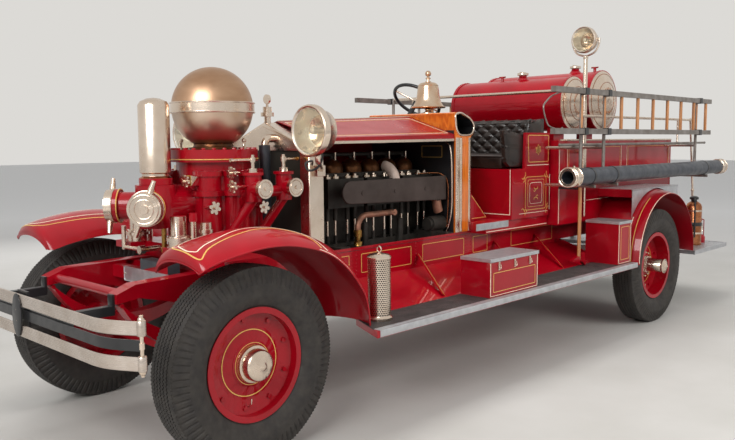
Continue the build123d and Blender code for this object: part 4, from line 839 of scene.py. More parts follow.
def makeTyre(corner):
    centre, radius, half = wheelPlace(corner)
    form = tyreForm
    # sidewall from the bead to the shoulder, rows of (radius, outward from the middle), with two moulded rings
    wall = smoothThrough([(radius - 0.239, 0.0724), (radius - 0.218, 0.0757), (radius - 0.205, 0.088),
                          (radius - 0.165, half - 0.008), (radius - 0.126, half - 0.0005),
                          (radius - 0.085, half - 0.004), (radius - 0.05, half - 0.014)], 4)
    ring = 0.0016 * (np.exp(-((wall[:, 0] - (radius - 0.1)) / 0.003) ** 2)
                     + np.exp(-((wall[:, 0] - (radius - 0.19)) / 0.004) ** 2))
    wall[:, 1] = np.minimum(wall[:, 1] + ring, half)
    shoulder = smoothThrough([(radius - 0.045, half - 0.0165), (radius - 0.028, half - 0.0215),
                              (radius - 0.0085, half - 0.0255)], 3)
    edges, depths = [-form["treadHalf"]], [form["stepDown"]]
    for groove in form["grooves"]:
        edges += [groove - form["grooveHalf"] - 0.0006, groove - form["grooveHalf"],
                  groove + form["grooveHalf"], groove + form["grooveHalf"] + 0.0006]
        depths += [0.0, form["grooveDepth"], form["grooveDepth"], 0.0]
    edges, depths = np.array(edges + [form["treadHalf"]]), np.array(depths + [form["stepDown"]])
    crown = form["crown"] * (edges / form["treadHalf"]) ** 2
    tread = np.stack([radius - crown - depths * (np.abs(edges) < 0.09), edges], -1)
    side = np.vstack([wall, shoulder])
    section = np.vstack([side * [1, -1], tread, side[::-1]])
    isTread = np.zeros(len(section), bool)
    isTread[len(side):len(side) + len(tread)] = True
    outer = np.zeros(len(section))
    outer[len(wall) - 5:len(side)] = 1
    outer[-len(side):len(section) - len(wall) + 5] = 1
    steps = form["lugs"] * 4
    angle = around(steps)
    swing = form["zigzag"] * np.where(np.arange(steps) % 2, 1, -1)
    # three quarters of each pitch is a lug and one quarter a groove that runs down over the shoulder
    cut = form["shoulderGroove"] * (np.arange(steps) % 4 == 3)
    radii = section[None, :, 0] - cut[:, None] * outer
    across = section[None, :, 1] + swing[:, None] * isTread - np.sign(section[:, 1]) * cut[:, None] * outer * 0.5
    points = np.stack([centre[0] + radii * np.cos(angle)[:, None],
                       centre[1] + across,
                       centre[2] + radii * np.sin(angle)[:, None]], -1)
    # the inside, between the beads, closes the ring
    shape = outward(weld(*gridShape(points, wrapU=True, wrapV=True)))
    makePiece(corner + "_tyre_moulded", [shape], "mouldedTyreRubber", corner + "_wheel", (corner + "_tyre",),
              sharp=28)


corners = ("front_left", "front_right", "rear_left", "rear_right")
for corner in corners:
    makeTyre(corner)
print("tyres made")


def wheelRing(centre, radius, steps=72):
    # a circle in a plane that faces sideways
    angle = around(steps)
    return np.stack([centre[0] + radius * np.cos(angle), np.full(steps, centre[1]),
                     centre[2] + radius * np.sin(angle)], -1)


def levelRing(centre, radius, steps=72):
    return wheelRing((centre[0], centre[2], centre[1]), radius, steps)[:, [0, 2, 1]]


def crossRing(centre, radius, steps=48):
    # a circle in a plane that faces ahead
    return wheelRing((centre[1], centre[0], centre[2]), radius, steps)[:, [1, 0, 2]]


def framed(corners, width, height, up):
    # a thin painted line round a closed outline
    return carried(strip(width, height), corners, up, closed=True)


def sideFrame(x0, x1, z0, z1, y, radius, width, height=0.0012):
    # a rounded rectangle painted on a panel that faces sideways, on both sides of the vehicle
    corners = rounded([(x0, y, z0), (x1, y, z0), (x1, y, z1), (x0, y, z1)], radius)
    line = framed(corners, width, height, (0, 1, 0))
    return [line, mirrored(line)]


# Wheels: the node's own pressing with gold circles, a nickel hub and a valve
wheelForm = dict(outerLine=0.180, innerLine=0.113, outerWidth=0.005, innerWidth=0.003)
for corner in corners:
    centre = wheelPlace(corner)[0]
    side = 1 if "left" in corner else -1
    front = corner.startswith("front")
    disc = 0.028 if front else -0.035
    hub = 0.106 if front else 0.082
    body = corner + "_wheel"

    def isHub(c, n, centre=centre, side=side, disc=disc, hub=hub):
        near = np.hypot(c[:, 0] - centre[0], c[:, 2] - centre[2]) < hub
        return near & ((c[:, 1] - centre[1]) * side > disc + 0.0225)

    dressNode(body, red, [(nickel, isHub)], bevel=0.002)
    lines = []
    for radius, depth, width in ((wheelForm["outerLine"], disc - 0.008, wheelForm["outerWidth"]),
                                 (wheelForm["innerLine"], disc + 0.0178, wheelForm["innerWidth"])):
        ring = wheelRing((centre[0], centre[1] + side * depth, centre[2]), radius)
        lines.append(framed(ring, width, 0.0024, (0, side, 0)))
    makePiece(corner + "_gold_circles", lines, gold, body)
    if not front:
        ring = wheelRing((centre[0], centre[1] + side * (disc + 0.012), centre[2]), 0.112, 12)
        low, high = boxOf(body)
        tip = high[1] if side > 0 else low[1]
        face = centre[1] + side * (disc + 0.022)
        flange = turned([(0.058, -0.004), (0.083, -0.004), (0.083, 0.006), (0.079, 0.010), (0.066, 0.012),
                         (0.0655, 0.026), (0.0625, 0.030), (0.0625, 0.0)],
                        (centre[0], face, centre[2]), (0, side, 0), 64)
        band = turned([(0.061, -0.016), (0.0655, -0.015), (0.0655, 0.0), (0.061, 0.001)],
                      (centre[0], tip - side * 0.03, centre[2]), (0, side, 0), 64)
        makePiece(corner + "_hub_nuts", [studs(acorn, 0.011, ring, (0, side, 0)), flange, band], nickel, body)
    stem = centre + np.array([0.02, side * (disc + 0.004), -0.235])
    route = [stem, stem + [0, side * 0.022, 0.02], stem + [0, side * 0.026, 0.05]]
    makePiece(corner + "_valve", [pipe(route, 0.005)], nickel, body)
print("wheels made")


# Bumper: two rolled bars with rounded ends, eye bolts with acorns and the clamp in the middle
bumperForm = dict(front=3.598, bend=0.9, endX=3.494, endY=1.072, levels=(0.885, 0.723), middle=0.804, height=0.066,
                  thick=0.011)


def makeBumper():
    form = bumperForm

    def route(back, inward, depth, level):
        # from one end round the two bends to the other
        x, y = form["endX"] - back, form["endY"] - inward
        return bent([(x, y, level), (form["front"] - depth, form["bend"], level),
                     (form["front"] - depth, -form["bend"], level), (x, -y, level)], 0.13, 12)

    bars = []
    for level in form["levels"]:
        path = route(0, 0, form["thick"] / 2, level)
        half, deep = form["height"] / 2, form["thick"] / 2
        section = [(deep, -half + 0.004), (deep, half - 0.004), (deep - 0.004, half), (-deep + 0.004, half),
                   (-deep, half - 0.004), (-deep, -half + 0.004), (-deep + 0.004, -half), (deep - 0.004, -half)]
        bars.append(carried(section, path))
        for side in (1, -1):
            place = (form["endX"] - 0.008, side * (form["endY"] - 0.004), level)
            bars.append(turned([(0, -half - 0.001), (0.019, -half - 0.001), (0.021, -half + 0.002),
                                (0.021, half - 0.002), (0.019, half + 0.001), (0, half + 0.001)], place))
    bolts = []
    for side in (1, -1):
        x, y = form["endX"] - 0.008, side * (form["endY"] - 0.004)
        bolts.append(pipe([(x, y, 0.664), (x, y, 0.944)], 0.009))
        bolts.append((acorn[0] * 0.016 + [x, y, 0.919], acorn[1]))
        bolts.append(studs(acorn, 0.016, [(x, y, 0.689)], (0, 0, -1)))
        bolts.append(pipe([(x, y, 0.79), (x, y, 0.82)], 0.013))
    makePiece("bumper_bars", bars, "brushedNickelBar", standsFor=("front_bumper",))
    makePiece("bumper_bolts", bolts, nickel)
    disc = turned([(0, -1), (0.93, -1), (1, -0.6), (1, 0.5), (0.9, 1), (0, 1)], (0, 0, 0), (1, 0, 0), 32)
    clamp = disc[0] * [0.0055, 0.056, 0.116] + [form["front"] + 0.004, 0, form["middle"]], disc[1]
    backing = carried([(-0.004, -0.026), (0.004, -0.026), (0.004, 0.026), (-0.004, 0.026)],
                      route(0.012, 0.006, 0.022, form["middle"]))
    makePiece("bumper_clamp", [clamp, backing], black, bevel=0.0015)
    spots = [(form["front"] + 0.004, 0, form["middle"] + dz) for dz in (-0.03, 0.03)]
    makePiece("bumper_clamp_bolts", [studs(button, 0.009, spots, (1, 0, 0))], nickel)


makeBumper()

# Nodes in their own finish, each with the rules that dress its nickel, copper and painted parts
suctionX = boxOf("suction_air_chamber")[0][0] + 0.098
ballZ = boxOf("air_chamber")[1][2] - 0.255
ventX, ventZ = ahead(-2.455), 1.832
wheelHub = np.array([ahead(-2.865), -0.39, 2.06])


def aheadOf(distance, limit):
    # faces further than limit along the 45 degree way of the suction inlets
    return lambda c, n: (c[:, 0] - distance) * 0.7071 + abs(c[:, 1]) * 0.7071 > limit


def nearPoints(places, reach):
    def test(c, n):
        hit = np.zeros(len(c), bool)
        for place in places:
            for side in (1, -1):
                hit |= (abs(c - np.array(place) * [1, side, 1]) < reach).all(axis=1)
        return hit
    return test


# faces inside the mouth of the cowl's vent, painted black as shade
def ventMouthShade(c, n):
    facing = (ventX - c[:, 0]) * n[:, 0] + (ventZ - c[:, 2]) * n[:, 2]
    return (facing > 0) & (c[:, 2] > 1.745) & (abs(n[:, 1]) < 0.5)


handwheelPlaces = [(ahead(-0.092), 0.155, 1.474), (ahead(-0.266), 0.385, 1.440), (ahead(-0.323), 0.3, 1.519),
                   (ahead(-0.196), 0.3, 1.316), (ahead(-0.544), 0.33, 1.301)]
bands = {name: within(z=levels) for name, levels in (
    ("equator", (ballZ - 0.0312, ballZ + 0.0312)), ("below", (1.70, ballZ - 0.0312)), ("above", (ballZ + 0.0312, 3)))}
stepRule = [("rolledTreadAluminium", within(z=(1.2505, 1.3)))]
# wood rungs, black clamps and bright grab rails on the ladders; bright couplings on the hoses
clamps = [beside(y=(1.017, 1.08), x=(x - 0.0265, x + 0.0265), z=(level - 0.0285, level + 0.0285))
          for x in (ahead(-3.25), ahead(-3.64), ahead(-5.62)) for level in (1.772, 2.09)]
ladderRules = [(ash, beside(y=(1.02, 1.07), z=(1.7942, 2.0678))),
               (black, eitherOf(beside(y=(1.0195, 1.2), z=(2.0619, 2.0681)), *clamps)),
               (nickel, beside(y=(0.80, 0.86)))]
hoseEnd = boxOf("left_suction_hose")[0][0] + 0.1101
hoseRules = [(nickel, lambda c, n: (c[:, 0] > ahead(-3.0001)) | (c[:, 0] < hoseEnd))]
lanternPlace = (-3.44, 0.86)
dressings = {
    "frame": (red, [("greyMachinePaint", within(x=(ahead(0.03), ahead(0.14)), y=(-0.03, 0.29), z=(0.971, 1.1)))]),
    "pump_body": (red, [
        (nickel, eitherOf(beside(y=(0.352, 0.418), z=(1.5225, 1.7)), beside(y=(0.4805, 0.6)),
                          nearPoints(handwheelPlaces, 0.045),
                          beside(y=(0.15, 0.4), x=(ahead(-0.15), ahead(0.1)), z=(1.1005, 1.249)))),
        ("agedBrass", beside(y=(0.36, 0.41), x=(ahead(-0.9), ahead(-0.72)), z=(1.57, 1.62)))]),
    "air_chamber": ("heatBronzedIron", [(nickel, bands["equator"]), ("wornNickelOverCopper", bands["below"]),
                                        ("spunBronze", bands["above"])]),
    "suction_manifold": (red, [(nickel, aheadOf(suctionX, 0.2502)),
                               ("agedBrass", within(y=(0.07, 0.14), z=(1.0, 1.199)))]),
    "suction_air_chamber": (nickel, [(red, within(z=(1.4, 1.4951))), (copper, within(z=(1.495, 1.5072)))]),
    "radiator_hose": (hose, [(nickel, lambda c, n: (c[:, 2] > 1.6842) | (c[:, 2] < 1.0398))]),
    "engine": ("oilyCastIron", [
        ("heatBronzedIron", within(y=(-0.1, 0.1), z=(1.40, 1.58))),
        (nickel, eitherOf(beside(y=(0.16, 0.23), z=(1.4455, 1.5)), beside(y=(0.18, 0.205), z=(1.046, 1.1495)),
                          within(y=(0.02, 0.05), z=(1.582, 1.7)))),
        ("flushedSteelPipe", within(x=(ahead(-1.83), ahead(-1.38)), y=(0.258, 0.33), z=(1.08, 1.25))),
        ("agedBrass", within(x=(ahead(-1.47), ahead(-1.38)), y=(0.24, 0.32), z=(0.97, 1.08)))]),
    "exhaust_manifold": ("scaledSteelSheet", [
        ("bakedPaleEnamel", within(x=(ahead(-1.81), ahead(-1.72)), z=(1.4341, 1.7))),
        ("flushedSteelPipe", within(z=(1.0, 1.2465)))]),
    "steering_wheel": (black, [(nickel, lambda c, n: np.linalg.norm(c - wheelHub, axis=1) < 0.196)]),
    "booster_tanks": (red, [(nickel, eitherOf(beside(y=(0.6005, 0.9)), within(z=(2.3131, 2.345), x=(ahead(-4.0), 9)),
                                              within(z=(2.3921, 2.6))))]),
    "left_suction_hose": (hose, hoseRules),
    "right_suction_hose": (hose, hoseRules),
    "left_rear_fender": (red, stepRule),
    "right_rear_fender": (red, stepRule),
    "tailboard": (alloy, [("rolledTreadAluminium", lambda c, n: n[:, 2] > 0.9)]),
    "extinguisher": (copper, [(black, eitherOf(within(z=(1.04, 1.2)), within(z=(0.775, 0.815))))]),
    "lantern": (red, [("pressedLampGlass", lambda c, n: (c[:, 2] > 0.681) & (c[:, 2] < 0.797)
                       & (np.hypot(c[:, 0] - lanternPlace[0], c[:, 1] - lanternPlace[1]) < 0.058))]),
}
for node, (material, rules) in dressings.items():
    dressNode(node, material, rules)
# the black inside the vent's mouth is painted shade
dressNode("dash_cowl", "varnishedCherryPanel", [
    (black, ventMouthShade), (black, lambda c, n: (n[:, 0] > 0.9) & (abs(c[:, 1]) < 0.436) & (c[:, 2] < 1.7851))],
    ((1, 0.436), (1, -0.436)))
dressNode("axe", ash, [(red, within(z=(0.6, 0.7499))), (black, beside(y=(0.69, 0.88), z=(1.28, 1.31)))],
          slot="ash_wood")
for node in ("left_ladder", "right_ladder"):
    dressNode(node, rubbed, ladderRules, slot="ash_wood")
plainNodes = {
    red: "front_axle left_knuckle right_knuckle tie_rod rear_axle seat_box hose_body left_running_board "
         "right_running_board",
    black: "bumper_carrier steering_column",
    nickel: "starting_crank radiator_shell searchlight_pole handrail",
    alloy: "left_box_lid_1 left_box_lid_2 right_box_lid_1 right_box_lid_2",
    "honeycombCore": "radiator_core",
    "enamelledLouvrePanel": "hood",
}
for material, names in plainNodes.items():
    for node in names.split():
        dressNode(node, material)
print("nodes dressed")


# Lamps: a nickel drum with a silvered bowl, a ring and a glass
def makeLamp(name, body, place, r, depth):
    # rows of (radius, distance forward), from the back of the drum round the rim into the bowl
    drum = turned([(0, -depth), (r * 0.42, -depth * 0.94), (r * 0.78, -depth * 0.6), (r * 0.9, 0.004), (r, 0.016),
                   (r, 0.046), (r * 0.985, 0.054), (r * 0.93, 0.058), (r * 0.88, 0.054), (r * 0.86, 0.046),
                   (r * 0.8, 0.01), (r * 0.6, -depth * 0.35), (r * 0.3, -depth * 0.6), (0, -depth * 0.68)],
                  place, (1, 0, 0), 64)
    piece = makePiece(name + "_drum", [drum], nickel, body, sharp=40)
    piece.data.materials.append(finish["silveredBowl"])
    centres = gathered(piece.data.polygons, "center") - np.array(place)
    inner = (np.hypot(centres[:, 1], centres[:, 2]) < r * 0.87) & (centres[:, 0] > -depth * 0.69)
    inner &= centres[:, 0] > -depth * 0.68 * (1 - np.hypot(centres[:, 1], centres[:, 2]) / (r * 0.95))
    piece.data.polygons.foreach_set("material_index", inner.astype(np.int32))
    glass = turned([(0, 0.060), (r * 0.5, 0.057), (r * 0.87, 0.049), (r * 0.87, 0.046), (r * 0.5, 0.053), (0, 0.056)],
                   place, (1, 0, 0), 64)
    makePiece(name + "_glass", [glass], "pressedLampGlass", body, sharp=60)
    bulb = turned([(0, -depth * 0.67), (r * 0.1, -depth * 0.6), (r * 0.1, -0.02), (r * 0.16, 0.0), (r * 0.12, 0.025),
                   (0, 0.034)],
                  place, (1, 0, 0), 24)
    makePiece(name + "_bulb", [bulb], "silveredBowl", body)


for side, node in ((1, "left_headlight"), (-1, "right_headlight")):
    place = np.array([ahead(-0.68), side * 0.66, 1.769])
    makeLamp(node, "chassis", place, 0.157, 0.112)
    x, y = place[0] - 0.02, place[1]
    foot = np.array([ahead(-0.87), side * 0.5, 1.529])
    posts = [pipe([(x, y, 1.672), (x, y, 1.587), foot], 0.017, 0.03, 16),
             turned([(0, 0), (0.03, 0), (0.032, 0.012), (0.018, 0.034), (0.0, 0.036)], (x, y, 1.64)),
             block((ahead(-0.905), min(side * 0.46, side * 0.51), 1.484),
                   (ahead(-0.835), max(side * 0.46, side * 0.51), 1.554))]
    makePiece(node + "_post", posts, nickel, standsFor=(node,), bevel=0.004)
    # armoured wire: out of the drum's underside, round in a loop and back to the column
    lead = smoothThrough([(x - 0.03, y, 1.668), (x - 0.05, y - side * 0.015, 1.60),
                          (x - 0.02, y - side * 0.03, 1.545), (x + 0.02, y - side * 0.06, 1.53),
                          (x + 0.01, y - side * 0.10, 1.57), (x - 0.07, y - side * 0.13, 1.585),
                          (ahead(-0.82), side * 0.475, 1.56)], 8)
    makePiece(node + "_wire", [pipe(lead, 0.007, sides=8)], black)

lightPlace = np.array([ahead(-3.72), 0.79, 2.555])
makeLamp("searchlight", "searchlight", lightPlace, 0.112, 0.09)
yoke = [turned([(0, -0.159), (0.02, -0.159), (0.022, -0.15), (0.022, -0.136), (0.012, -0.128), (0, -0.126)],
               lightPlace)]
for side in (1, -1):
    yoke.append(pipe([lightPlace + [0, 0, -0.138], lightPlace + [0, side * 0.09, -0.11],
                      lightPlace + [0, side * 0.124, -0.04],
                      lightPlace + [0, side * 0.124, 0.008]], 0.008, 0.05))
    yoke.append(turned([(0, 0), (0.014, 0), (0.016, 0.006), (0.008, 0.014), (0, 0.015)],
                       lightPlace + [0, side * 0.108, 0], (0, side, 0)))
makePiece("searchlight_yoke", yoke, nickel, "searchlight", ("searchlight",))
print("lamps made")


# Front fenders: the crowned section of the solid, carried over the wheel, with a nose that rolls down in front
fenderForm = dict(crownY=0.860, inner=0.600, outer=1.0745, innerDrop=0.150, outerDrop=0.082, thick=0.0045,
                  noseLong=0.052, noseDeep=0.060, foot=0.631)


def makeFender():
    form = fenderForm
    along = [(0.395, 1.1965), (0.30, 1.2205), (0.15, 1.2455), (0.0, 1.2555), (-0.15, 1.2455), (-0.30, 1.2135),
             (-0.42, 1.1715), (-0.52, 1.115), (-0.62, 1.03), (-0.70, 0.935), (-0.755, 0.85), (-0.785, 0.75),
             (-0.8, 0.63)]
    path = smoothThrough([(ahead(x), 0, z) for x, z in along], 6)
    run = np.gradient(path, axis=0)
    run /= np.linalg.norm(run, axis=1)[:, None]
    out = np.stack([run[:, 2], np.zeros(len(run)), -run[:, 0]], -1)
    out *= np.sign(out[:, 2] + 1e-9)[:, None]
    out[:, 0] = np.where(path[:, 2] < 1.0, -np.abs(out[:, 0]), out[:, 0])
    across = np.concatenate([np.linspace(form["inner"], form["crownY"], 14)[:-1],
                             np.linspace(form["crownY"], form["outer"], 22)])
    away = across - form["crownY"]
    # the drop of a circle through the crown: r - sqrt(r * r - d * d), scaled to the edge's own drop
    span = np.where(away < 0, form["crownY"] - form["inner"], form["outer"] - form["crownY"])
    share = np.abs(away) / span
    drop = np.where(away < 0, form["innerDrop"],
                    form["outerDrop"]) * (1 - np.sqrt(1 - (share * 0.94) ** 2)) / (1 - math.sqrt(1 - 0.94 ** 2))
    rows = []
    # nose: rows that run forward and down in a quarter turn, and draw in at both sides
    for angle in np.linspace(90, 0, 10)[:-1]:
        a = math.radians(angle)
        centre = path[0] - run[0] * form["noseLong"] * math.sin(a) - out[0] * form["noseDeep"] * (1 - math.cos(a))
        draw = 1 - 0.16 * (1 - math.cos(a)) ** 1.5
        rows.append((centre, out[0], draw, 1 - 0.45 * (1 - math.cos(a))))
    rows += [(centre, up, 1.0, 1.0) for centre, up in zip(path, out)]
    sheet = []
    for centre, up, draw, flat in rows:
        y = form["crownY"] + away * draw
        sheet.append(centre - up * (drop * flat)[:, None] + np.stack([np.zeros_like(y), y, np.zeros_like(y)], -1))
    sheet = np.array(sheet)
    normal = np.cross(np.gradient(sheet, axis=0), np.gradient(sheet, axis=1))
    normal /= np.linalg.norm(normal, axis=2)[:, :, None]
    normal *= -1 if normal[20, 14, 2] > 0 else 1
    under = sheet + normal * form["thick"]
    both = np.concatenate([sheet, under[:, ::-1]], axis=1)
    both[:, :, 2] = np.maximum(both[:, :, 2], form["foot"])
    points, faces = gridShape(both, wrapV=True)
    count, last = both.shape[1], (both.shape[0] - 1) * both.shape[1]
    half = count // 2
    for start in (0, last):
        closing = np.array([(start + k, start + k + 1, start + count - 2 - k, start + count - 1 - k)
                            for k in range(half - 1)])
        faces.append(closing if start == last else closing[:, ::-1])
    shape = outward((points, faces))
    # wired edge round the nose and along the outer side
    edge = np.concatenate([sheet[0], sheet[1:, -1]])
    edge = edge[edge[:, 2] > form["foot"] + 0.004]
    apart = np.linalg.norm(np.diff(edge, axis=0), axis=1) > 1e-4
    bead = carried(circle(0.0045, 8), edge[np.concatenate([[True], apart])], (0.3, 0.3, 1))
    for name, made in (("left", (shape, bead)), ("right", (mirrored(shape), mirrored(bead)))):
        node = name + "_front_fender"
        surfaces[node] = treeOf(makePiece(name + "_fender_sheet", list(made), red, standsFor=(node,), sharp=50).data)


makeFender()


# The front end of each running board is cut slantwise, so that its inner corner tucks in behind the fender's foot
boardCut = dict(behind=0.655, slope=0.48, nosing=1.187, inner=0.86, below=0.645)


def cutSlantwise(piece):
    # at a distance y from the middle, the cut lies behind + slope * (nosing - y) behind the front axle
    for v in piece.data.vertices:
        reach = abs(v.co.y)
        if reach > boardCut["inner"] and v.co.z < boardCut["below"]:
            v.co.x = min(v.co.x, ahead(-boardCut["behind"]) - boardCut["slope"] * (boardCut["nosing"] - reach))
    piece.data.update()


# Bell: crown, nearly straight waist and a flared lip, on a turned pedestal
def makeBell():
    low, high = boxOf("bell")
    x, y, radius = (low[0] + high[0]) / 2, (low[1] + high[1]) / 2, (high[0] - low[0]) / 2
    outside = smoothThrough([(radius, 1.980), (radius * 0.93, 1.9875), (radius * 0.82, 2.003), (radius * 0.72, 2.03),
                             (radius * 0.655, 2.065), (radius * 0.615, 2.11), (radius * 0.585, 2.148),
                             (radius * 0.53, 2.168), (radius * 0.40, 2.181), (radius * 0.17, 2.187)], 5)
    inside = outside - [0.006, 0.006]
    inside[:, 0] = np.maximum(inside[:, 0], 0.016)
    stem = [(0.0, 2.2805), (0.012, 2.279), (0.022, 2.270), (0.026, 2.256), (0.023, 2.243), (0.012, 2.236),
            (0.011, 2.226), (0.021, 2.221), (0.021, 2.214), (0.011, 2.209), (0.012, 2.197), (0.026, 2.192),
            (0.027, 2.186)]
    pedestal = [(0.016, 1.985), (0.026, 1.972), (0.029, 1.963), (0.022, 1.955), (0.026, 1.945), (0.045, 1.938),
                (0.069, 1.935), (0.070, 1.926), (0.0, 1.9255)]
    profile = np.vstack([stem, outside[::-1], [(radius - 0.002, 1.9785)], inside, pedestal])
    makePiece("bell_turned", [turned(profile, (x, y, 0), steps=72)], "bellNickel", standsFor=("bell",), sharp=50)
    rings = [wire(levelRing((x, y, z), r, 64), 0.003) for z, r in ((1.984, radius * 0.96), (2.158, radius * 0.565))]
    makePiece("bell_rings", rings, "bellNickel")


makeBell()


# Painted lines, bright trim and small hardware, gathered by material; sideways ones stand on both sides
trim = {name: [] for name in (gold, ivory, nickel, black, red, alloy, copper, rubbed)}


def place(material, *shapes, bothSides=True):
    for shape in shapes:
        trim[material].append(shape)
        if bothSides:
            trim[material].append(mirrored(shape))


def sideLine(points, width=0.0045):
    # a painted line on a panel that faces +Y; each point is (metres ahead of the front axle, y, z)
    return carried(strip(width, 0.0012), [(ahead(x), y, z) for x, y, z in points], (0, 1, 0))


def sideBox(x0, x1, z0, z1, y, radius=0.006, width=0.0045):
    return sideFrame(ahead(x0), ahead(x1), z0, z1, y, radius, width)[0]


def placesAhead(points):
    return [(ahead(x), y, z) for x, y, z in points]


def trimPump():
    pumpX = ahead(-0.41)
    place(gold, wire(levelRing((pumpX, 0, 1.601), 0.2795, 96), 0.0035, sides=6), bothSides=False)
    nuts = [studs(hexNut, 0.0125, levelRing((pumpX, 0, 1.661), 0.259, 26), (0, 0, 1))]
    for angle in (45, 90, 135, 225, 270, 315):
        x, y = pumpX + 0.22 * math.cos(math.radians(angle)), 0.22 * math.sin(math.radians(angle))
        nuts.append(studs(hexNut, 0.008, levelRing((x, y, 1.53), 0.079, 8), (0, 0, 1)))
    place(red, *nuts, bothSides=False)
    # ball: two bead rings on the equator band
    for dz in (-0.029, 0.029):
        place(nickel, wire(levelRing((pumpX, 0, ballZ + dz), 0.2615, 96), 0.0055), bothSides=False)
    # suction inlets: gold line round each flange, bright rings on each cap
    way, across = np.array([0.70711, 0.70711, 0]), np.array([-0.70711, 0.70711, 0])
    angle = around(48)
    turn = np.cos(angle)[:, None] * across + np.sin(angle)[:, None] * [0, 0, 1]
    for material, reach, radius, thick in ((gold, 0.2145, 0.1005, 0.004), (nickel, 0.2455, 0.1015, 0.004),
                                           (nickel, 0.2925, 0.055, 0.003), (nickel, 0.2925, 0.082, 0.003)):
        ring = np.array([suctionX, 0, 1.33]) + way * reach + radius * turn
        place(material, wire(ring, thick, tuple(way)))
    # gold-framed boxes on the pump's face, and a petcock beside the ball
    face = ahead(-0.1198)
    frame = rounded([(face, 0.132, 1.449), (face, 0.176, 1.449), (face, 0.176, 1.506), (face, 0.132, 1.506)], 0.004)
    place(gold, framed(frame, 0.005, 0.002, (1, 0, 0)))
    for x, y in ((-0.56, 0.12), (-0.30, -0.2)):
        spot = (ahead(x), y, 1.66)
        place(nickel,
              turned([(0, -0.002), (0.016, -0.002), (0.016, 0.01), (0.008, 0.016), (0.008, 0.045), (0.015, 0.05),
                      (0.015, 0.062), (0.006, 0.07), (0, 0.071)], spot, (0, 0, 1), 20),
              pipe([(spot[0], y, 1.7), (spot[0] + 0.03, y + 0.035, 1.704), (spot[0] + 0.034, y + 0.04, 1.68)], 0.006,
                   0.01), bothSides=False)
    # caps of the delivery valves: a ring and a square boss
    for x in (-0.42, -0.66):
        spot = (ahead(x), 0.5055, 1.425)
        place(nickel, wire(wheelRing(spot, 0.044, 36), 0.003, (0, 1, 0)), studs(hexNut, 0.011, [spot], (0, 1, 0)))


def trimFront():
    # blank registration plate with a pressed rim, standing on the cross member
    x = ahead(0.122)
    outline = rounded([(x, -0.21, 0.865), (x, 0.30, 0.865), (x, 0.30, 0.955), (x, -0.21, 0.955)], 0.012)
    centre = outline.mean(axis=0)
    rings = [outline, outline + [0.006, 0, 0], centre + (outline - centre) * [1, 0.985, 0.93] + [0.006, 0, 0],
             centre + (outline - centre) * [1, 0.975, 0.87] + [0.003, 0, 0]]
    points = np.array([[centre] * len(outline)] + rings + [[centre + [0.003, 0, 0]] * len(outline)])
    place(alloy, outward(weld(*gridShape(points, wrapV=True))), bothSides=False)
    place(nickel, studs(button, 0.006, [(x + 0.006, y, 0.91) for y in (-0.195, 0.285)], (1, 0, 0)),
          bothSides=False)
    # bolts in a row under the gable of the radiator shell
    edge = [(ahead(-0.81), y, 1.668) for y in np.arange(0.13, 0.45, 0.024)]
    place(nickel, studs(button, 0.006, edge, (1, 0, 0)))


def trimHood():
    # bright strip along the foot of the hood's side
    place(nickel, carried([(-0.011, -0.001), (0.011, -0.001), (0.009, 0.003), (-0.009, 0.003)],
                                         placesAhead([(-0.935, 0.44, 1.697), (-2.33, 0.44, 1.711)]), (0, 1, 0)))
    # painted border on each half of the roof, laid on its surface
    for inset, width, material in ((0.0, 0.0045, ivory), (0.014, 0.0025, gold)):
        corners = [(-0.965 - inset, 0.045 + inset), (-0.965 - inset, 0.405 - inset), (-2.295 + inset, 0.405 - inset),
                   (-2.265 + inset, 0.045 + inset)]
        for side in (1, -1):
            outline = []
            for (x0, y0), (x1, y1) in zip(corners, corners[1:] + corners[:1]):
                for t in np.linspace(0, 1, 13)[:-1]:
                    outline.append((ahead(x0 + (x1 - x0) * t), side * (y0 + (y1 - y0) * t), 2.4))
            places, normals = laidOn("hood", outline, (0, 0, -1))
            trim[material].append(carried(strip(width, 0.0012), places, normals, True))
    # hinge rod along the crest
    crest, _ = laidOn("hood", [(ahead(x), 0.004, 2.4) for x in np.linspace(-0.94, -2.31, 12)], (0, 0, -1))
    place(nickel, pipe(crest + [0, -0.004, 0.001], 0.0055, sides=10), bothSides=False)


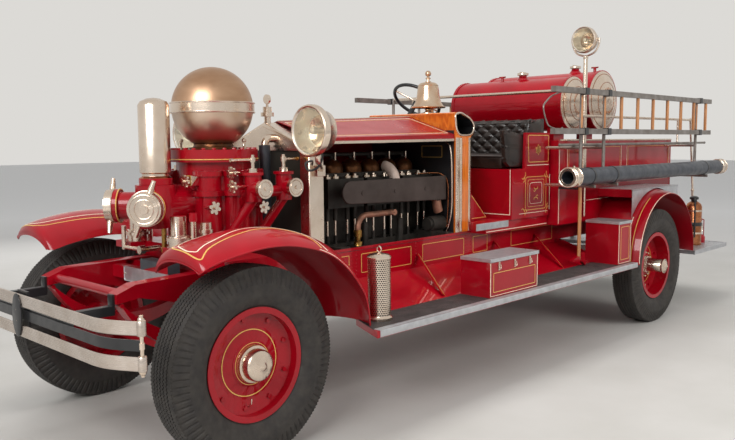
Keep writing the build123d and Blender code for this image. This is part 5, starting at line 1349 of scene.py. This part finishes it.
def trimDash():
    y = 0.4502
    # bright mouldings before and behind the wooden pillar, the front one with a round bead and a row of studs
    for x0, x1 in ((-2.337, -2.418), (-2.502, -2.534)):
        middle, half = (x0 + x1) / 2, abs(x1 - x0) / 2
        place(nickel, carried([(-half, -0.001), (half, -0.001), (half, 0.002), (half - 0.003, 0.004),
                               (-half + 0.003, 0.004), (-half, 0.002)],
                                             placesAhead([(middle, y, 0.99), (middle, y, 1.728)]), (0, 1, 0)))
    place(nickel, pipe(placesAhead([(-2.4, y + 0.003, 0.995), (-2.4, y + 0.003, 1.725)]), 0.011),
          studs(button, 0.005, placesAhead([(-2.354, y + 0.0042, z) for z in np.arange(1.0, 1.72, 0.018)]),
                (0, 1, 0)))
    # bead round the mouth of the cowl
    mouth = [(-2.549, 1.757), (-2.501, 1.746), (-2.385, 1.746), (-2.343, 1.79), (-2.327, 1.909), (-2.40, 1.921),
             (-2.525, 1.875), (-2.579, 1.818)]
    rim = rounded([(ahead(x), y + 0.001, z) for x, z in mouth], 0.03, 6)
    place(nickel, wire(rim, 0.0085, (0, 1, 0), 10))
    # gold outline on the bulkhead, and the thin pipes beside the pillar and over the shield
    face = ahead(-2.3338)
    frame = rounded([(face, 0.114, 1.576), (face, 0.318, 1.576), (face, 0.318, 1.664), (face, 0.114, 1.664)], 0.004)
    place(gold, framed(frame, 0.004, 0.001, (1, 0, 0)), bothSides=False)
    tube = smoothThrough(placesAhead([(-2.318, 0.37, 1.70), (-2.322, 0.41, 1.65), (-2.322, 0.425, 1.5),
                                      (-2.322, 0.425, 1.2), (-2.32, 0.40, 1.05), (-2.318, 0.37, 0.99)]), 6)
    place(nickel, pipe(tube, 0.006, sides=8), bothSides=False)
    tube = smoothThrough(placesAhead([(-2.10, 0.27, 1.452), (-2.24, 0.29, 1.455), (-2.30, 0.34, 1.445),
                                      (-2.322, 0.386, 1.38), (-2.322, 0.39, 1.2), (-2.318, 0.38, 1.03)]), 6)
    place(copper, pipe(tube, 0.005, sides=8), bothSides=False)
    # kick panel behind the pillar
    corners = placesAhead([(-2.537, 0.43, 1.066), (-2.537, 0.43, 1.285), (-2.55, 0.43, 1.285), (-2.775, 0.43, 1.07)])
    slab = np.array([corners, [(x, y + 0.012, z) for x, y, z in corners]])
    shape, faces = gridShape(slab, wrapV=True)
    faces.append(np.array([[3, 2, 1, 0]]))
    faces.append(np.array([[4, 5, 6, 7]]))
    place(red, outward((shape, faces)))
    place(gold, sideLine([(-2.56, 0.4422, 1.265), (-2.755, 0.4422, 1.082), (-2.56, 0.4422, 1.082)], 0.005))


def trimSill():
    y = 0.4561
    for x0, x1 in ((-1.047, -1.159), (-1.279, -1.799), (-1.932, -2.438), (-2.563, -2.757), (-3.108, -3.775)):
        place(gold, sideBox(x0, x1, 0.808, 0.937, y))
    rivets = [(x, y, z) for x in (-1.184, -1.229, -1.852, -2.47, -2.528, -2.82,
                                  -2.89) for z in np.linspace(0.80, 0.955, 7)]
    place(red, studs(button, 0.006, placesAhead(rivets), (0, 1, 0)))
    # thin black line along the top of the sill: painted shadow of the gap under the hood's sill
    place(black, sideLine([(-0.94, y, 0.967), (-2.53, y, 0.967)], 0.003))
    # edges of the slanting braces
    for x in (-1.88, -2.86, -3.48):
        start, end = np.array([ahead(x), 0.455, 0.866]), np.array([ahead(x) + 0.19, 0.845, 0.642])
        way = (end - start) / np.linalg.norm(end - start)
        width = np.array([1, 0, -way[0] / way[2]])
        width /= np.linalg.norm(width)
        off = np.cross(width, way)
        off *= 0.0062 * np.sign(off[2])
        for edge in (-0.0145, 0.0145):
            place(gold, carried(strip(0.004, 0.001), [start + width * edge + off + way * 0.01,
                                                                     end + width * edge + off], tuple(off)))


def trimFender():
    # stripes on the front fender, as places seen from above; laid on its surface
    stripes = [
        (ivory, 0.006, [(-0.30, 0.735), (-0.08, 0.735), (0.10, 0.75), (0.25, 0.77), (0.34, 0.79), (0.39, 0.825),
                        (0.407, 0.87), (0.41, 0.935), (0.39, 0.975), (0.363, 0.966), (0.319, 0.95), (0.254, 0.936),
                        (0.175, 0.913), (0.066, 0.881), (-0.08, 0.868), (-0.2, 0.875), (-0.28, 0.905), (-0.34, 0.96),
                        (-0.368, 1.022), (-0.395, 1.062)]),
        (gold, 0.007, [(-0.30, 0.695), (-0.08, 0.695), (0.10, 0.71), (0.25, 0.727), (0.35, 0.748), (0.40, 0.785),
                       (0.416, 0.84), (0.417, 0.95), (0.411, 1.01), (0.396, 1.031), (0.369, 1.014), (0.333, 0.994),
                       (0.269, 0.975), (0.179, 0.957), (0.081, 0.94), (-0.024, 0.92), (-0.12, 0.912), (-0.22, 0.925),
                       (-0.29, 0.955), (-0.33, 1.01), (-0.352, 1.06)]),
    ]
    for material, width, route in stripes:
        route = smoothThrough([(ahead(x), y, 1.6) for x, y in route], 5)
        places, normals = laidOn("left_front_fender", route, (0, 0, -1))
        place(material, carried(strip(width, 0.0012), places, normals))
    # edge lines on both fenders, cast inwards onto the arch from round its middle
    arcs = [("left_front_fender", (-0.09, 0.53), 1.0705, 112, 171, ivory, 0.006),
            ("left_rear_fender", (-4.67, 0.60), 1.045, 2, 40, ivory, 0.006),
            ("left_rear_fender", (-4.67, 0.60), 1.093, 2, 66, gold, 0.006),
            ("left_rear_fender", (-4.67, 0.60), 1.093, 114, 178, gold, 0.006),
            ("left_rear_fender", (-4.67, 0.60), 1.045, 140, 178, ivory, 0.006),
            ("left_rear_fender", (-4.67, 0.60), 1.1645, 1, 179, ivory, 0.005)]
    for node, (x, z), y, low, high, material, width in arcs:
        angles = np.radians(np.linspace(low, high, 40))
        found, outs = [], []
        for a in angles:
            way = np.array([math.cos(a), 0, math.sin(a)])
            hit, normal = laidOn(node, [np.array([ahead(x), y, z]) + way * 1.3], -way)
            if len(hit):
                found.append(hit[0])
                outs.append(normal[0])
        place(material, carried(strip(width, 0.0012), found, np.array(outs)))
    # skirt under the step of the rear fender, cut to the arch, and its rolled edge
    angles = np.radians(np.linspace(38, 142, 40))
    curve = [(ahead(-4.67) + 0.646 * math.cos(a), 0.60 + 0.646 * math.sin(a)) for a in angles]
    top = [(ahead(-4.67) + 0.5 - (i / 39.0), 1.245) for i in range(40)]
    skirt = np.array([[(x, 1.0305, min(z, 1.2445)) for x, z in curve], [(x, 1.0305, z) for x, z in top],
                      [(x, 1.0345, z) for x, z in top], [(x, 1.0345, min(z, 1.2445)) for x, z in curve]])
    skirt[:, :, 0] = np.clip(skirt[:, :, 0], ahead(-4.67) - 0.5, ahead(-4.67) + 0.5)
    shape, faces = gridShape(skirt.transpose(1, 0, 2), wrapV=True)
    faces.append(np.array([[0, 1, 2, 3], [159, 158, 157, 156]]))
    place(alloy, outward((shape, faces)))
    place(alloy, pipe(placesAhead([(-4.17, 1.030, 1.251), (-5.17, 1.030, 1.251)]), 0.0065, sides=10))


def trimBoards():
    # ribbed rubber mat with an aluminium nosing, drawn along the board
    low, high = boxOf("left_running_board")
    front, rear = high[0] - 0.002, ahead(-3.99)
    ribs = []
    for y in np.arange(0.872, 1.128, 0.012):
        ribs += [(y, 0.0), (y + 0.002, 0.003), (y + 0.008, 0.003), (y + 0.010, 0.0)]
    mat = [(0.870, -0.002)] + ribs + [(1.134, -0.002)]
    mat = [(-y, z) for y, z in mat]
    shape = carried(mat, [(front, 0, 0.6305), (rear, 0, 0.6305)], (0, 0, 1))
    if shape[0][:, 1].mean() < 0:
        shape = mirrored(shape)
    mats.extend([shape, mirrored(shape)])
    nose = [(1.132, 0.629), (1.132, 0.6335), (1.146, 0.6345), (1.15, 0.6325), (1.154, 0.6345), (1.158, 0.6325),
            (1.162, 0.6345), (1.166, 0.6325), (1.170, 0.6345), (1.182, 0.6335), (1.1855, 0.629), (1.1855, 0.596),
            (1.183, 0.592), (1.182, 0.629)]
    shape = carried([(-y, z) for y, z in nose], [(front - 0.022, 0, 0), (rear, 0, 0)], (0, 0, 1))
    if shape[0][:, 1].mean() < 0:
        shape = mirrored(shape)
    place(alloy, shape)
    # tool boxes: gold panels, ivory corners, hasps
    for x0, x1, y, z0, z1 in ((-1.885, -2.41, 1.1252, 0.668, 0.80), (-3.795, -3.945, 1.1182, 0.672, 0.955)):
        place(gold, sideBox(x0, x1, z0, z1, y))
    for x0, x1, y, top in ((-1.846, -2.443, 1.1252, 0.874), (-3.752, -3.978, 1.1182, 0.978)):
        place(ivory, sideLine([(x0 - 0.003, y, 0.64), (x0 - 0.003, y, top)], 0.006),
              sideLine([(x1 + 0.003, y, 0.64), (x1 + 0.003, y, top)], 0.006),
              sideLine([(x0, y, 0.643), (x1, y, 0.643)], 0.004))
        # rolled bright edge under the lid
        place(alloy,
              pipe(placesAhead([(x0 - 0.004, y + 0.006, top + 0.008), (x1 + 0.004, y + 0.006, top + 0.008)]), 0.006))
    for x in (-1.95, -2.145, -2.34):
        place(nickel, carried([(-0.009, 0), (0.009, 0), (0.009, 0.003), (-0.009, 0.003)],
                                             placesAhead([(x, 1.1252, 0.815), (x, 1.1252, 0.873)]), (0, 1, 0)),
              pipe(placesAhead([(x - 0.011, 1.132, 0.855), (x - 0.011, 1.137, 0.825), (x + 0.011, 1.137, 0.825),
                                (x + 0.011, 1.132, 0.855)]), 0.0028, 0.008, 8),
              studs(button, 0.005, placesAhead([(x, 1.128, 0.862)]), (0, 1, 0)))


def flourish(centre, size, turn):
    # a painted spray for the corner of a panel: three curling leaves that leave one point
    made = []
    for angle, length in ((0, 1.0), (0.9, 0.8), (-0.9, 0.8)):
        t = np.linspace(0, 1, 12)
        a = turn + angle + t * 2.2 * (1 if angle >= 0 else -1)
        x = centre[0] + np.cumsum(np.cos(a)) * size * length / 12
        z = centre[2] + np.cumsum(np.sin(a)) * size * length / 12
        made.append(sideLine(np.stack([x, np.full(12, centre[1]), z], -1), 0.0055))
    return made


def trimSeat():
    y = 0.6302
    # front of the seat box: ivory line near each corner and along its foot
    face = ahead(-2.8498)
    line = [(face, 0.612, 1.47), (face, 0.612, 1.10), (face, 0.0, 1.10)]
    place(ivory, carried(strip(0.006, 0.0012), line, (1, 0, 0)))
    # side panel: gold double frame with sprays in its corners, ivory lines beside it
    place(gold, sideBox(-3.05, -3.37, 1.125, 1.40, y, 0.03, 0.005),
          sideBox(-3.085, -3.335, 1.15, 1.375, y, 0.02, 0.003))
    place(ivory, sideBox(-3.115, -3.305, 1.175, 1.35, y, 0.03, 0.003),
          sideLine([(-3.428, y, 1.41), (-3.428, y, 1.109)], 0.006),
          sideLine([(-2.96, y, 1.1), (-3.40, y, 1.1)], 0.004))
    for x, z, turn in ((-3.03, 1.405, 225), (-3.39, 1.405, 315), (-3.03, 1.12, 135), (-3.39, 1.12, 45)):
        place(gold, *flourish((x, y, z), 0.06, math.radians(turn)))
    place(gold, *flourish((-3.21, y, 1.22), 0.05, math.pi / 2), *flourish((-3.21, y, 1.30), 0.05, -math.pi / 2))
    # upper panel: gold outline, a spray in place of any lettering, ivory line under it
    outline = rounded([(ahead(x), y, z) for x,
                       z in ((-3.095, 1.523), (-3.40, 1.523), (-3.40, 1.745), (-3.08, 1.745))], 0.015)
    place(gold, framed(outline, 0.006, 0.0012, (0, 1, 0)))
    for turn in (0.6, 1.57, 2.5, 3.7, 4.71, 5.7):
        place(gold, *flourish((-3.24, y, 1.625), 0.055, turn))
    place(ivory, sideLine([(-3.075, y, 1.497), (-3.41, y, 1.497)], 0.005))
    # ribbed step plate on the edge of the floor, ivory lines above and below it
    slot = [(-0.0265, 0), (0.0265, 0), (0.0265, 0.004), (-0.0265, 0.004)]
    place(alloy, carried(slot, placesAhead([(-2.403, 0.6002, 1.032), (-2.844, 0.6002, 1.032)]), (0, 1, 0)))
    ribs = [pipe(placesAhead([(x, 0.6045, 1.009), (x, 0.6045, 1.055)]), 0.0022,
                 sides=6) for x in np.arange(-2.412, -2.84, -0.011)]
    place(alloy, *ribs)
    place(ivory, sideLine([(-2.54, 0.6002, 0.985), (-3.44, 0.6002, 0.985)], 0.005))


def trimBody():
    y = 0.7002
    place(ivory, sideBox(-3.60, -4.62, 1.30, 1.665, y, 0.02, 0.005),
          sideBox(-4.74, -5.73, 1.30, 1.665, y, 0.02, 0.005),
          sideLine([(-3.466, y, 1.66), (-3.466, y, 0.985)], 0.006),
          sideLine([(-3.95, y, 1.16), (-4.62, y, 1.165)], 0.005))
    place(gold, sideBox(-3.625, -4.595, 1.325, 1.64, y, 0.02, 0.003),
          sideBox(-4.765, -5.705, 1.325, 1.64, y, 0.02, 0.003))
    # bright strip along the top of the body and an upright behind the step
    place(nickel, pipe(placesAhead([(-3.47, 0.697, 1.703), (-5.78, 0.697, 1.703)]), 0.008, sides=10))
    place(nickel, pipe(placesAhead([(-3.885, 0.716, 1.02), (-3.885, 0.716, 1.66)]), 0.010))
    # long pole that lies on the rack arms
    pole = placesAhead([(-3.04, 0.95, 1.664), (-6.037, 0.95, 1.666)])
    place(rubbed, pipe(pole, 0.011), studs(acorn, 0.013, [pole[0]], (1, 0, 0)),
          studs(acorn, 0.013, [pole[1]], (-1, 0, 0)))
    # rigid armoured conduit in a loop from the ladder's front end
    loop = smoothThrough(placesAhead([(-2.955, 1.02, 1.80), (-2.93, 1.0, 1.786), (-2.85, 0.965, 1.81),
                                      (-2.824, 0.95, 1.856), (-2.79, 0.95, 1.92), (-2.783, 0.95, 1.964),
                                      (-2.82, 0.95, 2.0), (-2.90, 0.96, 2.05), (-3.02, 0.99, 2.085),
                                      (-3.2, 1.0, 2.10)]), 6)
    place(rubbed, pipe(loop, 0.006, sides=8), bothSides=False)


def trimHoses():
    # couplings: ridges on the bright ring, lugs, and a strap at each rack
    low, high = boxOf("left_suction_hose")
    y, z = (low[1] + high[1]) / 2, (low[2] + high[2]) / 2
    front = high[0]
    for x, radius, thick in ((front - 0.004, 0.0735, 0.006), (front - 0.034, 0.0745, 0.005),
                             (front - 0.104, 0.0745, 0.005),
                             (low[0] + 0.104, 0.0745, 0.005), (low[0] + 0.006, 0.0735, 0.006)):
        place(nickel, wire(crossRing((x, y, z), radius), thick, (1, 0, 0)))
    for angle in (80, 200, 320):
        a = math.radians(angle)
        base = np.array([front - 0.07, y + 0.075 * math.cos(a), z + 0.075 * math.sin(a)])
        out = np.array([0, math.cos(a), math.sin(a)])
        place(nickel, pipe([base - out * 0.01, base + out * 0.016], 0.009))
    for x in (-3.25, -3.64, -5.62):
        ring = crossRing((ahead(x) + 0.03, y, z), 0.0695, 40)
        place(black,
              carried([(-0.003, -0.014), (0.002, -0.014), (0.002, 0.014), (-0.003, 0.014)], ring, (1, 0, 0), True))


def trimTanks():
    # generic wreath on each tank's end: a ring of leaves between two thin rings
    leaf = button[0] * [0.55, 1.5, 0.5], button[1]
    for x, z, radius in ((-3.88, 2.03, 0.238), (-4.42, 2.07, 0.278)):
        for size, width in ((0.62, 0.005), (0.9, 0.006)):
            ring = wheelRing((ahead(x), 1.2, z), radius * size, 56)
            places, normals = laidOn("booster_tanks", ring, (0, -1, 0))
            place(copper, carried(strip(width, 0.0015), places, normals, True))
        ring = [(ahead(x) + radius * 0.4 * math.cos(a), 1.2,
                 z + radius * 0.4 * math.sin(a)) for a in np.linspace(0.2, 2 * np.pi - 0.2, 22)]
        places, normals = laidOn("booster_tanks", ring, (0, -1, 0))
        place(copper, studs(leaf, 0.010, places, normals))
        # riveted seam where the dome meets the barrel
        middle = (ahead(x), 0.585, z)
        seam = wheelRing(middle, radius + 0.0065, 40)
        place(red, studs(button, 0.006, seam, seam - middle))


def trimRear():
    low, high = boxOf("tailboard")
    # bent edging round the board's rim
    x0, x1, y, z = low[0] + 0.0036, high[0], 1.11, 0.572
    edge = [(-0.003, -0.04), (0.0035, -0.04), (0.0035, 0.003), (-0.014, 0.003), (-0.014, 0.0), (-0.003, 0.0)]
    place(alloy, carried(edge, [(x1, y, z), (x0, y, z), (x0, -y, z), (x1, -y, z)]), bothSides=False)
    # extinguisher: hose and two strap bands
    ex, ey = low[0] + 0.4, 0.9
    hose = smoothThrough([(ex + 0.03, ey + 0.02, 1.07), (ex + 0.085, ey + 0.045, 1.05), (ex + 0.098, ey + 0.05, 0.98),
                          (ex + 0.092, ey + 0.05, 0.8), (ex + 0.09, ey + 0.05, 0.66)], 6)
    place(black, pipe(hose, 0.009, sides=8), bothSides=False)
    for z0 in (0.70, 0.94):
        place(nickel, carried([(-0.001, -0.009), (0.002, -0.009), (0.002, 0.009), (-0.001, 0.009)],
                                             levelRing((ex, ey, z0), 0.0835, 40), (0, 0, 1), True), bothSides=False)


mats = []
for makeTrim in (trimPump, trimFront, trimHood, trimDash, trimSill, trimFender, trimBoards, trimSeat, trimBody,
                 trimHoses, trimTanks, trimRear):
    makeTrim()
for material, shapes in trim.items():
    makePiece("trim_" + material, shapes, material, sharp=40)
makePiece("board_mats", mats, "mouldedRubberMat", sharp=40)
for name in ("board_mats", "left_running_board_dressed", "right_running_board_dressed"):
    cutSlantwise(bpy.data.objects[name])
print("trim made")


# Strainer: a drum with round holes in staggered rows, under a domed cap with a ring
strainerForm = dict(
    foot=0.63,
    radius=0.0702,
    firstRow=0.032,
    perforated=0.340,     # height of the part with holes
    rows=28,
    columns=30,
    hole=0.36,            # radius of a hole, as a share of its cell
    wall=0.004,
)


def makeStrainer():
    low, high = boxOf("strainer")
    x, y = (low[0] + high[0]) / 2, (low[1] + high[1]) / 2
    form = strainerForm
    foot, radius, rows, columns = (form[k] for k in ("foot", "radius", "rows", "columns"))
    # each cell is a square with an eight-sided hole; the corners join the hole's rim
    angle = around(8) + np.pi / 8
    stepU, stepZ = 2 * np.pi / columns, form["perforated"] / rows
    rimU, rimZ = np.cos(angle) * form["hole"], np.sin(angle) * form["hole"]
    square = [(0.5, 0.2071), (0.2071, 0.5), (-0.2071, 0.5), (-0.5, 0.2071), (-0.5, -0.2071), (-0.2071, -0.5),
              (0.2071, -0.5), (0.5, -0.2071)]
    tips = [(0.5, 0.5), (-0.5, 0.5), (-0.5, -0.5), (0.5, -0.5)]
    points, quads, tris = [], [], []
    for row in range(rows):
        for column in range(columns):
            u0 = (column + 0.5 * (row % 2)) * stepU
            z0 = foot + form["firstRow"] + (row + 0.5) * stepZ
            start = len(points)
            for u, v in list(zip(rimU, rimZ)) + square + tips:
                a = u0 + u * stepU
                points.append((x + radius * math.cos(a), y + radius * math.sin(a), z0 + v * stepZ))
            for k in range(8):
                quads.append((start + k, start + 8 + k, start + 8 + (k + 1) % 8, start + (k + 1) % 8))
            for n, k in enumerate((0, 2, 4, 6)):
                tris.append((start + 8 + k, start + 16 + n, start + 8 + (k + 1) % 8))
            # the inside of the hole goes back by the wall
            inner, back = len(points), radius - form["wall"]
            for u, v in zip(rimU, rimZ):
                a = u0 + u * stepU
                points.append((x + back * math.cos(a), y + back * math.sin(a), z0 + v * stepZ))
            for k in range(8):
                quads.append((inner + k, start + k, start + (k + 1) % 8, inner + (k + 1) % 8))
    drum = (np.array(points), [np.array(quads), np.array(tris)])
    cap = turned([(0, 0), (0.08, 0), (0.08, 0.018), (0.074, 0.024), (0.0702, 0.032)], (x, y, foot), (0, 0, 1), 48)
    lid = turned([(0.0702, 0.372), (0.0745, 0.376), (0.0745, 0.384), (0.062, 0.398), (0.032, 0.406), (0.009, 0.407),
                  (0.009, 0.414), (0, 0.414)], (x, y, foot), (0, 0, 1), 48)
    ring = wire(crossRing((x, y, foot + 0.43), 0.017, 24), 0.005, (1, 0, 0))
    makePiece("strainer_drum", [drum, cap, lid, ring], nickel, standsFor=("strainer",), sharp=40)
    # black drum inside the holes: painted shade of the strainer's hollow inside
    core = turned([(0, 0.03), (0.062, 0.03), (0.062, 0.372), (0, 0.372)], (x, y, foot), (0, 0, 1), 32)
    makePiece("strainer_core", [core], black)


makeStrainer()
print("strainer made")


# Floor, light and camera
def makeStage():
    mesh = bpy.data.meshes.new("floor")
    reach = 60.0
    mesh.from_pydata([(-reach, -reach, 0), (reach, -reach, 0), (reach, reach, 0), (-reach, reach, 0)], [],
                     [(0, 1, 2, 3)])
    # sealed pale concrete: faint clouds, softly glossy
    tree, shader, coords = startMaterial("sealedPaleConcrete", "#b4b1ac", 0.62)
    cloud = noise(tree, coords, 900, 5.0)
    near = mixColours(tree, mapped(tree, cloud, 0.0, 1.0), "#b9b6b1", "#aeaba5")
    # paler where the lamps don't reach, so that the floor's far edge stays light
    distance = addNode(tree, "VectorMath", {0: coords}, operation="LENGTH").outputs["Value"]
    paint(tree, shader, mixColours(tree, mapped(tree, distance, 0.0, 1.0, 5.0, 14.0), near, "#f4f2ef"))
    bump(tree, shader, noise(tree, coords, 12, 3.0), 0.3)
    mesh.materials.append(finish["sealedPaleConcrete"])
    newObject("floor", mesh)


def makeLights():
    world = bpy.data.worlds.new("softRoom")
    bpy.context.scene.world = world
    world.use_nodes = True
    tree = world.node_tree
    tree.nodes.clear()
    coords = addNode(tree, "TexCoord").outputs["Generated"]
    height = addNode(tree, "SeparateXYZ", {"Vector": coords}).outputs["Z"]
    # a plain room: brighter overhead than at the horizon
    level = mapped(tree, height, 0.0, 1.0, -0.1, 0.7)
    colour = mixColours(tree, level, "#b3aea8", "#dfe2e6")
    room = addNode(tree, "Background", {"Color": colour, "Strength": 0.6})
    back = addNode(tree, "Background", {"Color": linear("#dcdad6"), "Strength": 1.0})
    rays = addNode(tree, "LightPath").outputs
    seen = addNode(tree, "Math", {0: rays["Is Camera Ray"], 1: rays["Is Glossy Ray"]}, operation="MAXIMUM").outputs[0]
    seen = addNode(tree, "Math", {0: seen, 1: rays["Is Transmission Ray"]}, operation="MAXIMUM").outputs[0]
    mixed = addNode(tree, "MixShader", {0: seen, 1: room.outputs[0], 2: back.outputs[0]})
    addNode(tree, "OutputWorld", {"Surface": mixed.outputs[0]})
    lamps = [
        # name, place, aimed at, size, watts
        ("keyPanel", (9.0, 3.0, 5.5), (1.0, 0.5, 0.9), (5.0, 4.0), 600),
        ("sidePanel", (-1.0, 8.5, 4.6), (0.0, 0.5, 1.0), (6.0, 2.5), 500),
        ("topPanel", (0.0, 0.0, 7.5), (0.0, 0.0, 0.0), (7.0, 3.0), 380),
        ("farPanel", (-2.0, -8.0, 4.5), (0.0, 0.0, 1.0), (6.0, 2.5), 260),
    ]
    for name, place, aim, size, watts in lamps:
        data = bpy.data.lights.new(name, "AREA")
        data.shape = "RECTANGLE"
        data.size, data.size_y = size
        data.energy = watts
        lamp = newObject(name, data)
        lamp.location = place
        lamp.rotation_euler = (Vector(aim) - Vector(place)).to_track_quat("-Z", "Y").to_euler()
        # only the key shows in the enamel; the others would lay a haze over it
        lamp.visible_glossy = name == "keyPanel"


viewForm = dict(place=(5.219, 4.131, 1.703), yaw=223.887, down=5.783, roll=-0.402, focal=775.28, pictureWidth=735)


def makeCamera():
    yaw, down, roll = (math.radians(viewForm[k]) for k in ("yaw", "down", "roll"))
    look = Vector((math.cos(yaw) * math.cos(down), math.sin(yaw) * math.cos(down), -math.sin(down)))
    right = look.cross(Vector((0, 0, 1))).normalized()
    up = right.cross(look)
    right, up = math.cos(roll) * right + math.sin(roll) * up, math.cos(roll) * up - math.sin(roll) * right
    data = bpy.data.cameras.new("camera")
    data.sensor_width = 36
    data.lens = data.sensor_width * viewForm["focal"] / viewForm["pictureWidth"]
    camera = newObject("camera", data)
    turn = Matrix((right, up, -look)).transposed().to_4x4()
    camera.matrix_world = Matrix.Translation(viewForm["place"]) @ turn
    bpy.context.scene.camera = camera


makeStage()
makeLights()
makeCamera()
bpy.context.scene.view_settings.view_transform = "Standard"
print("stage, lights and camera set")
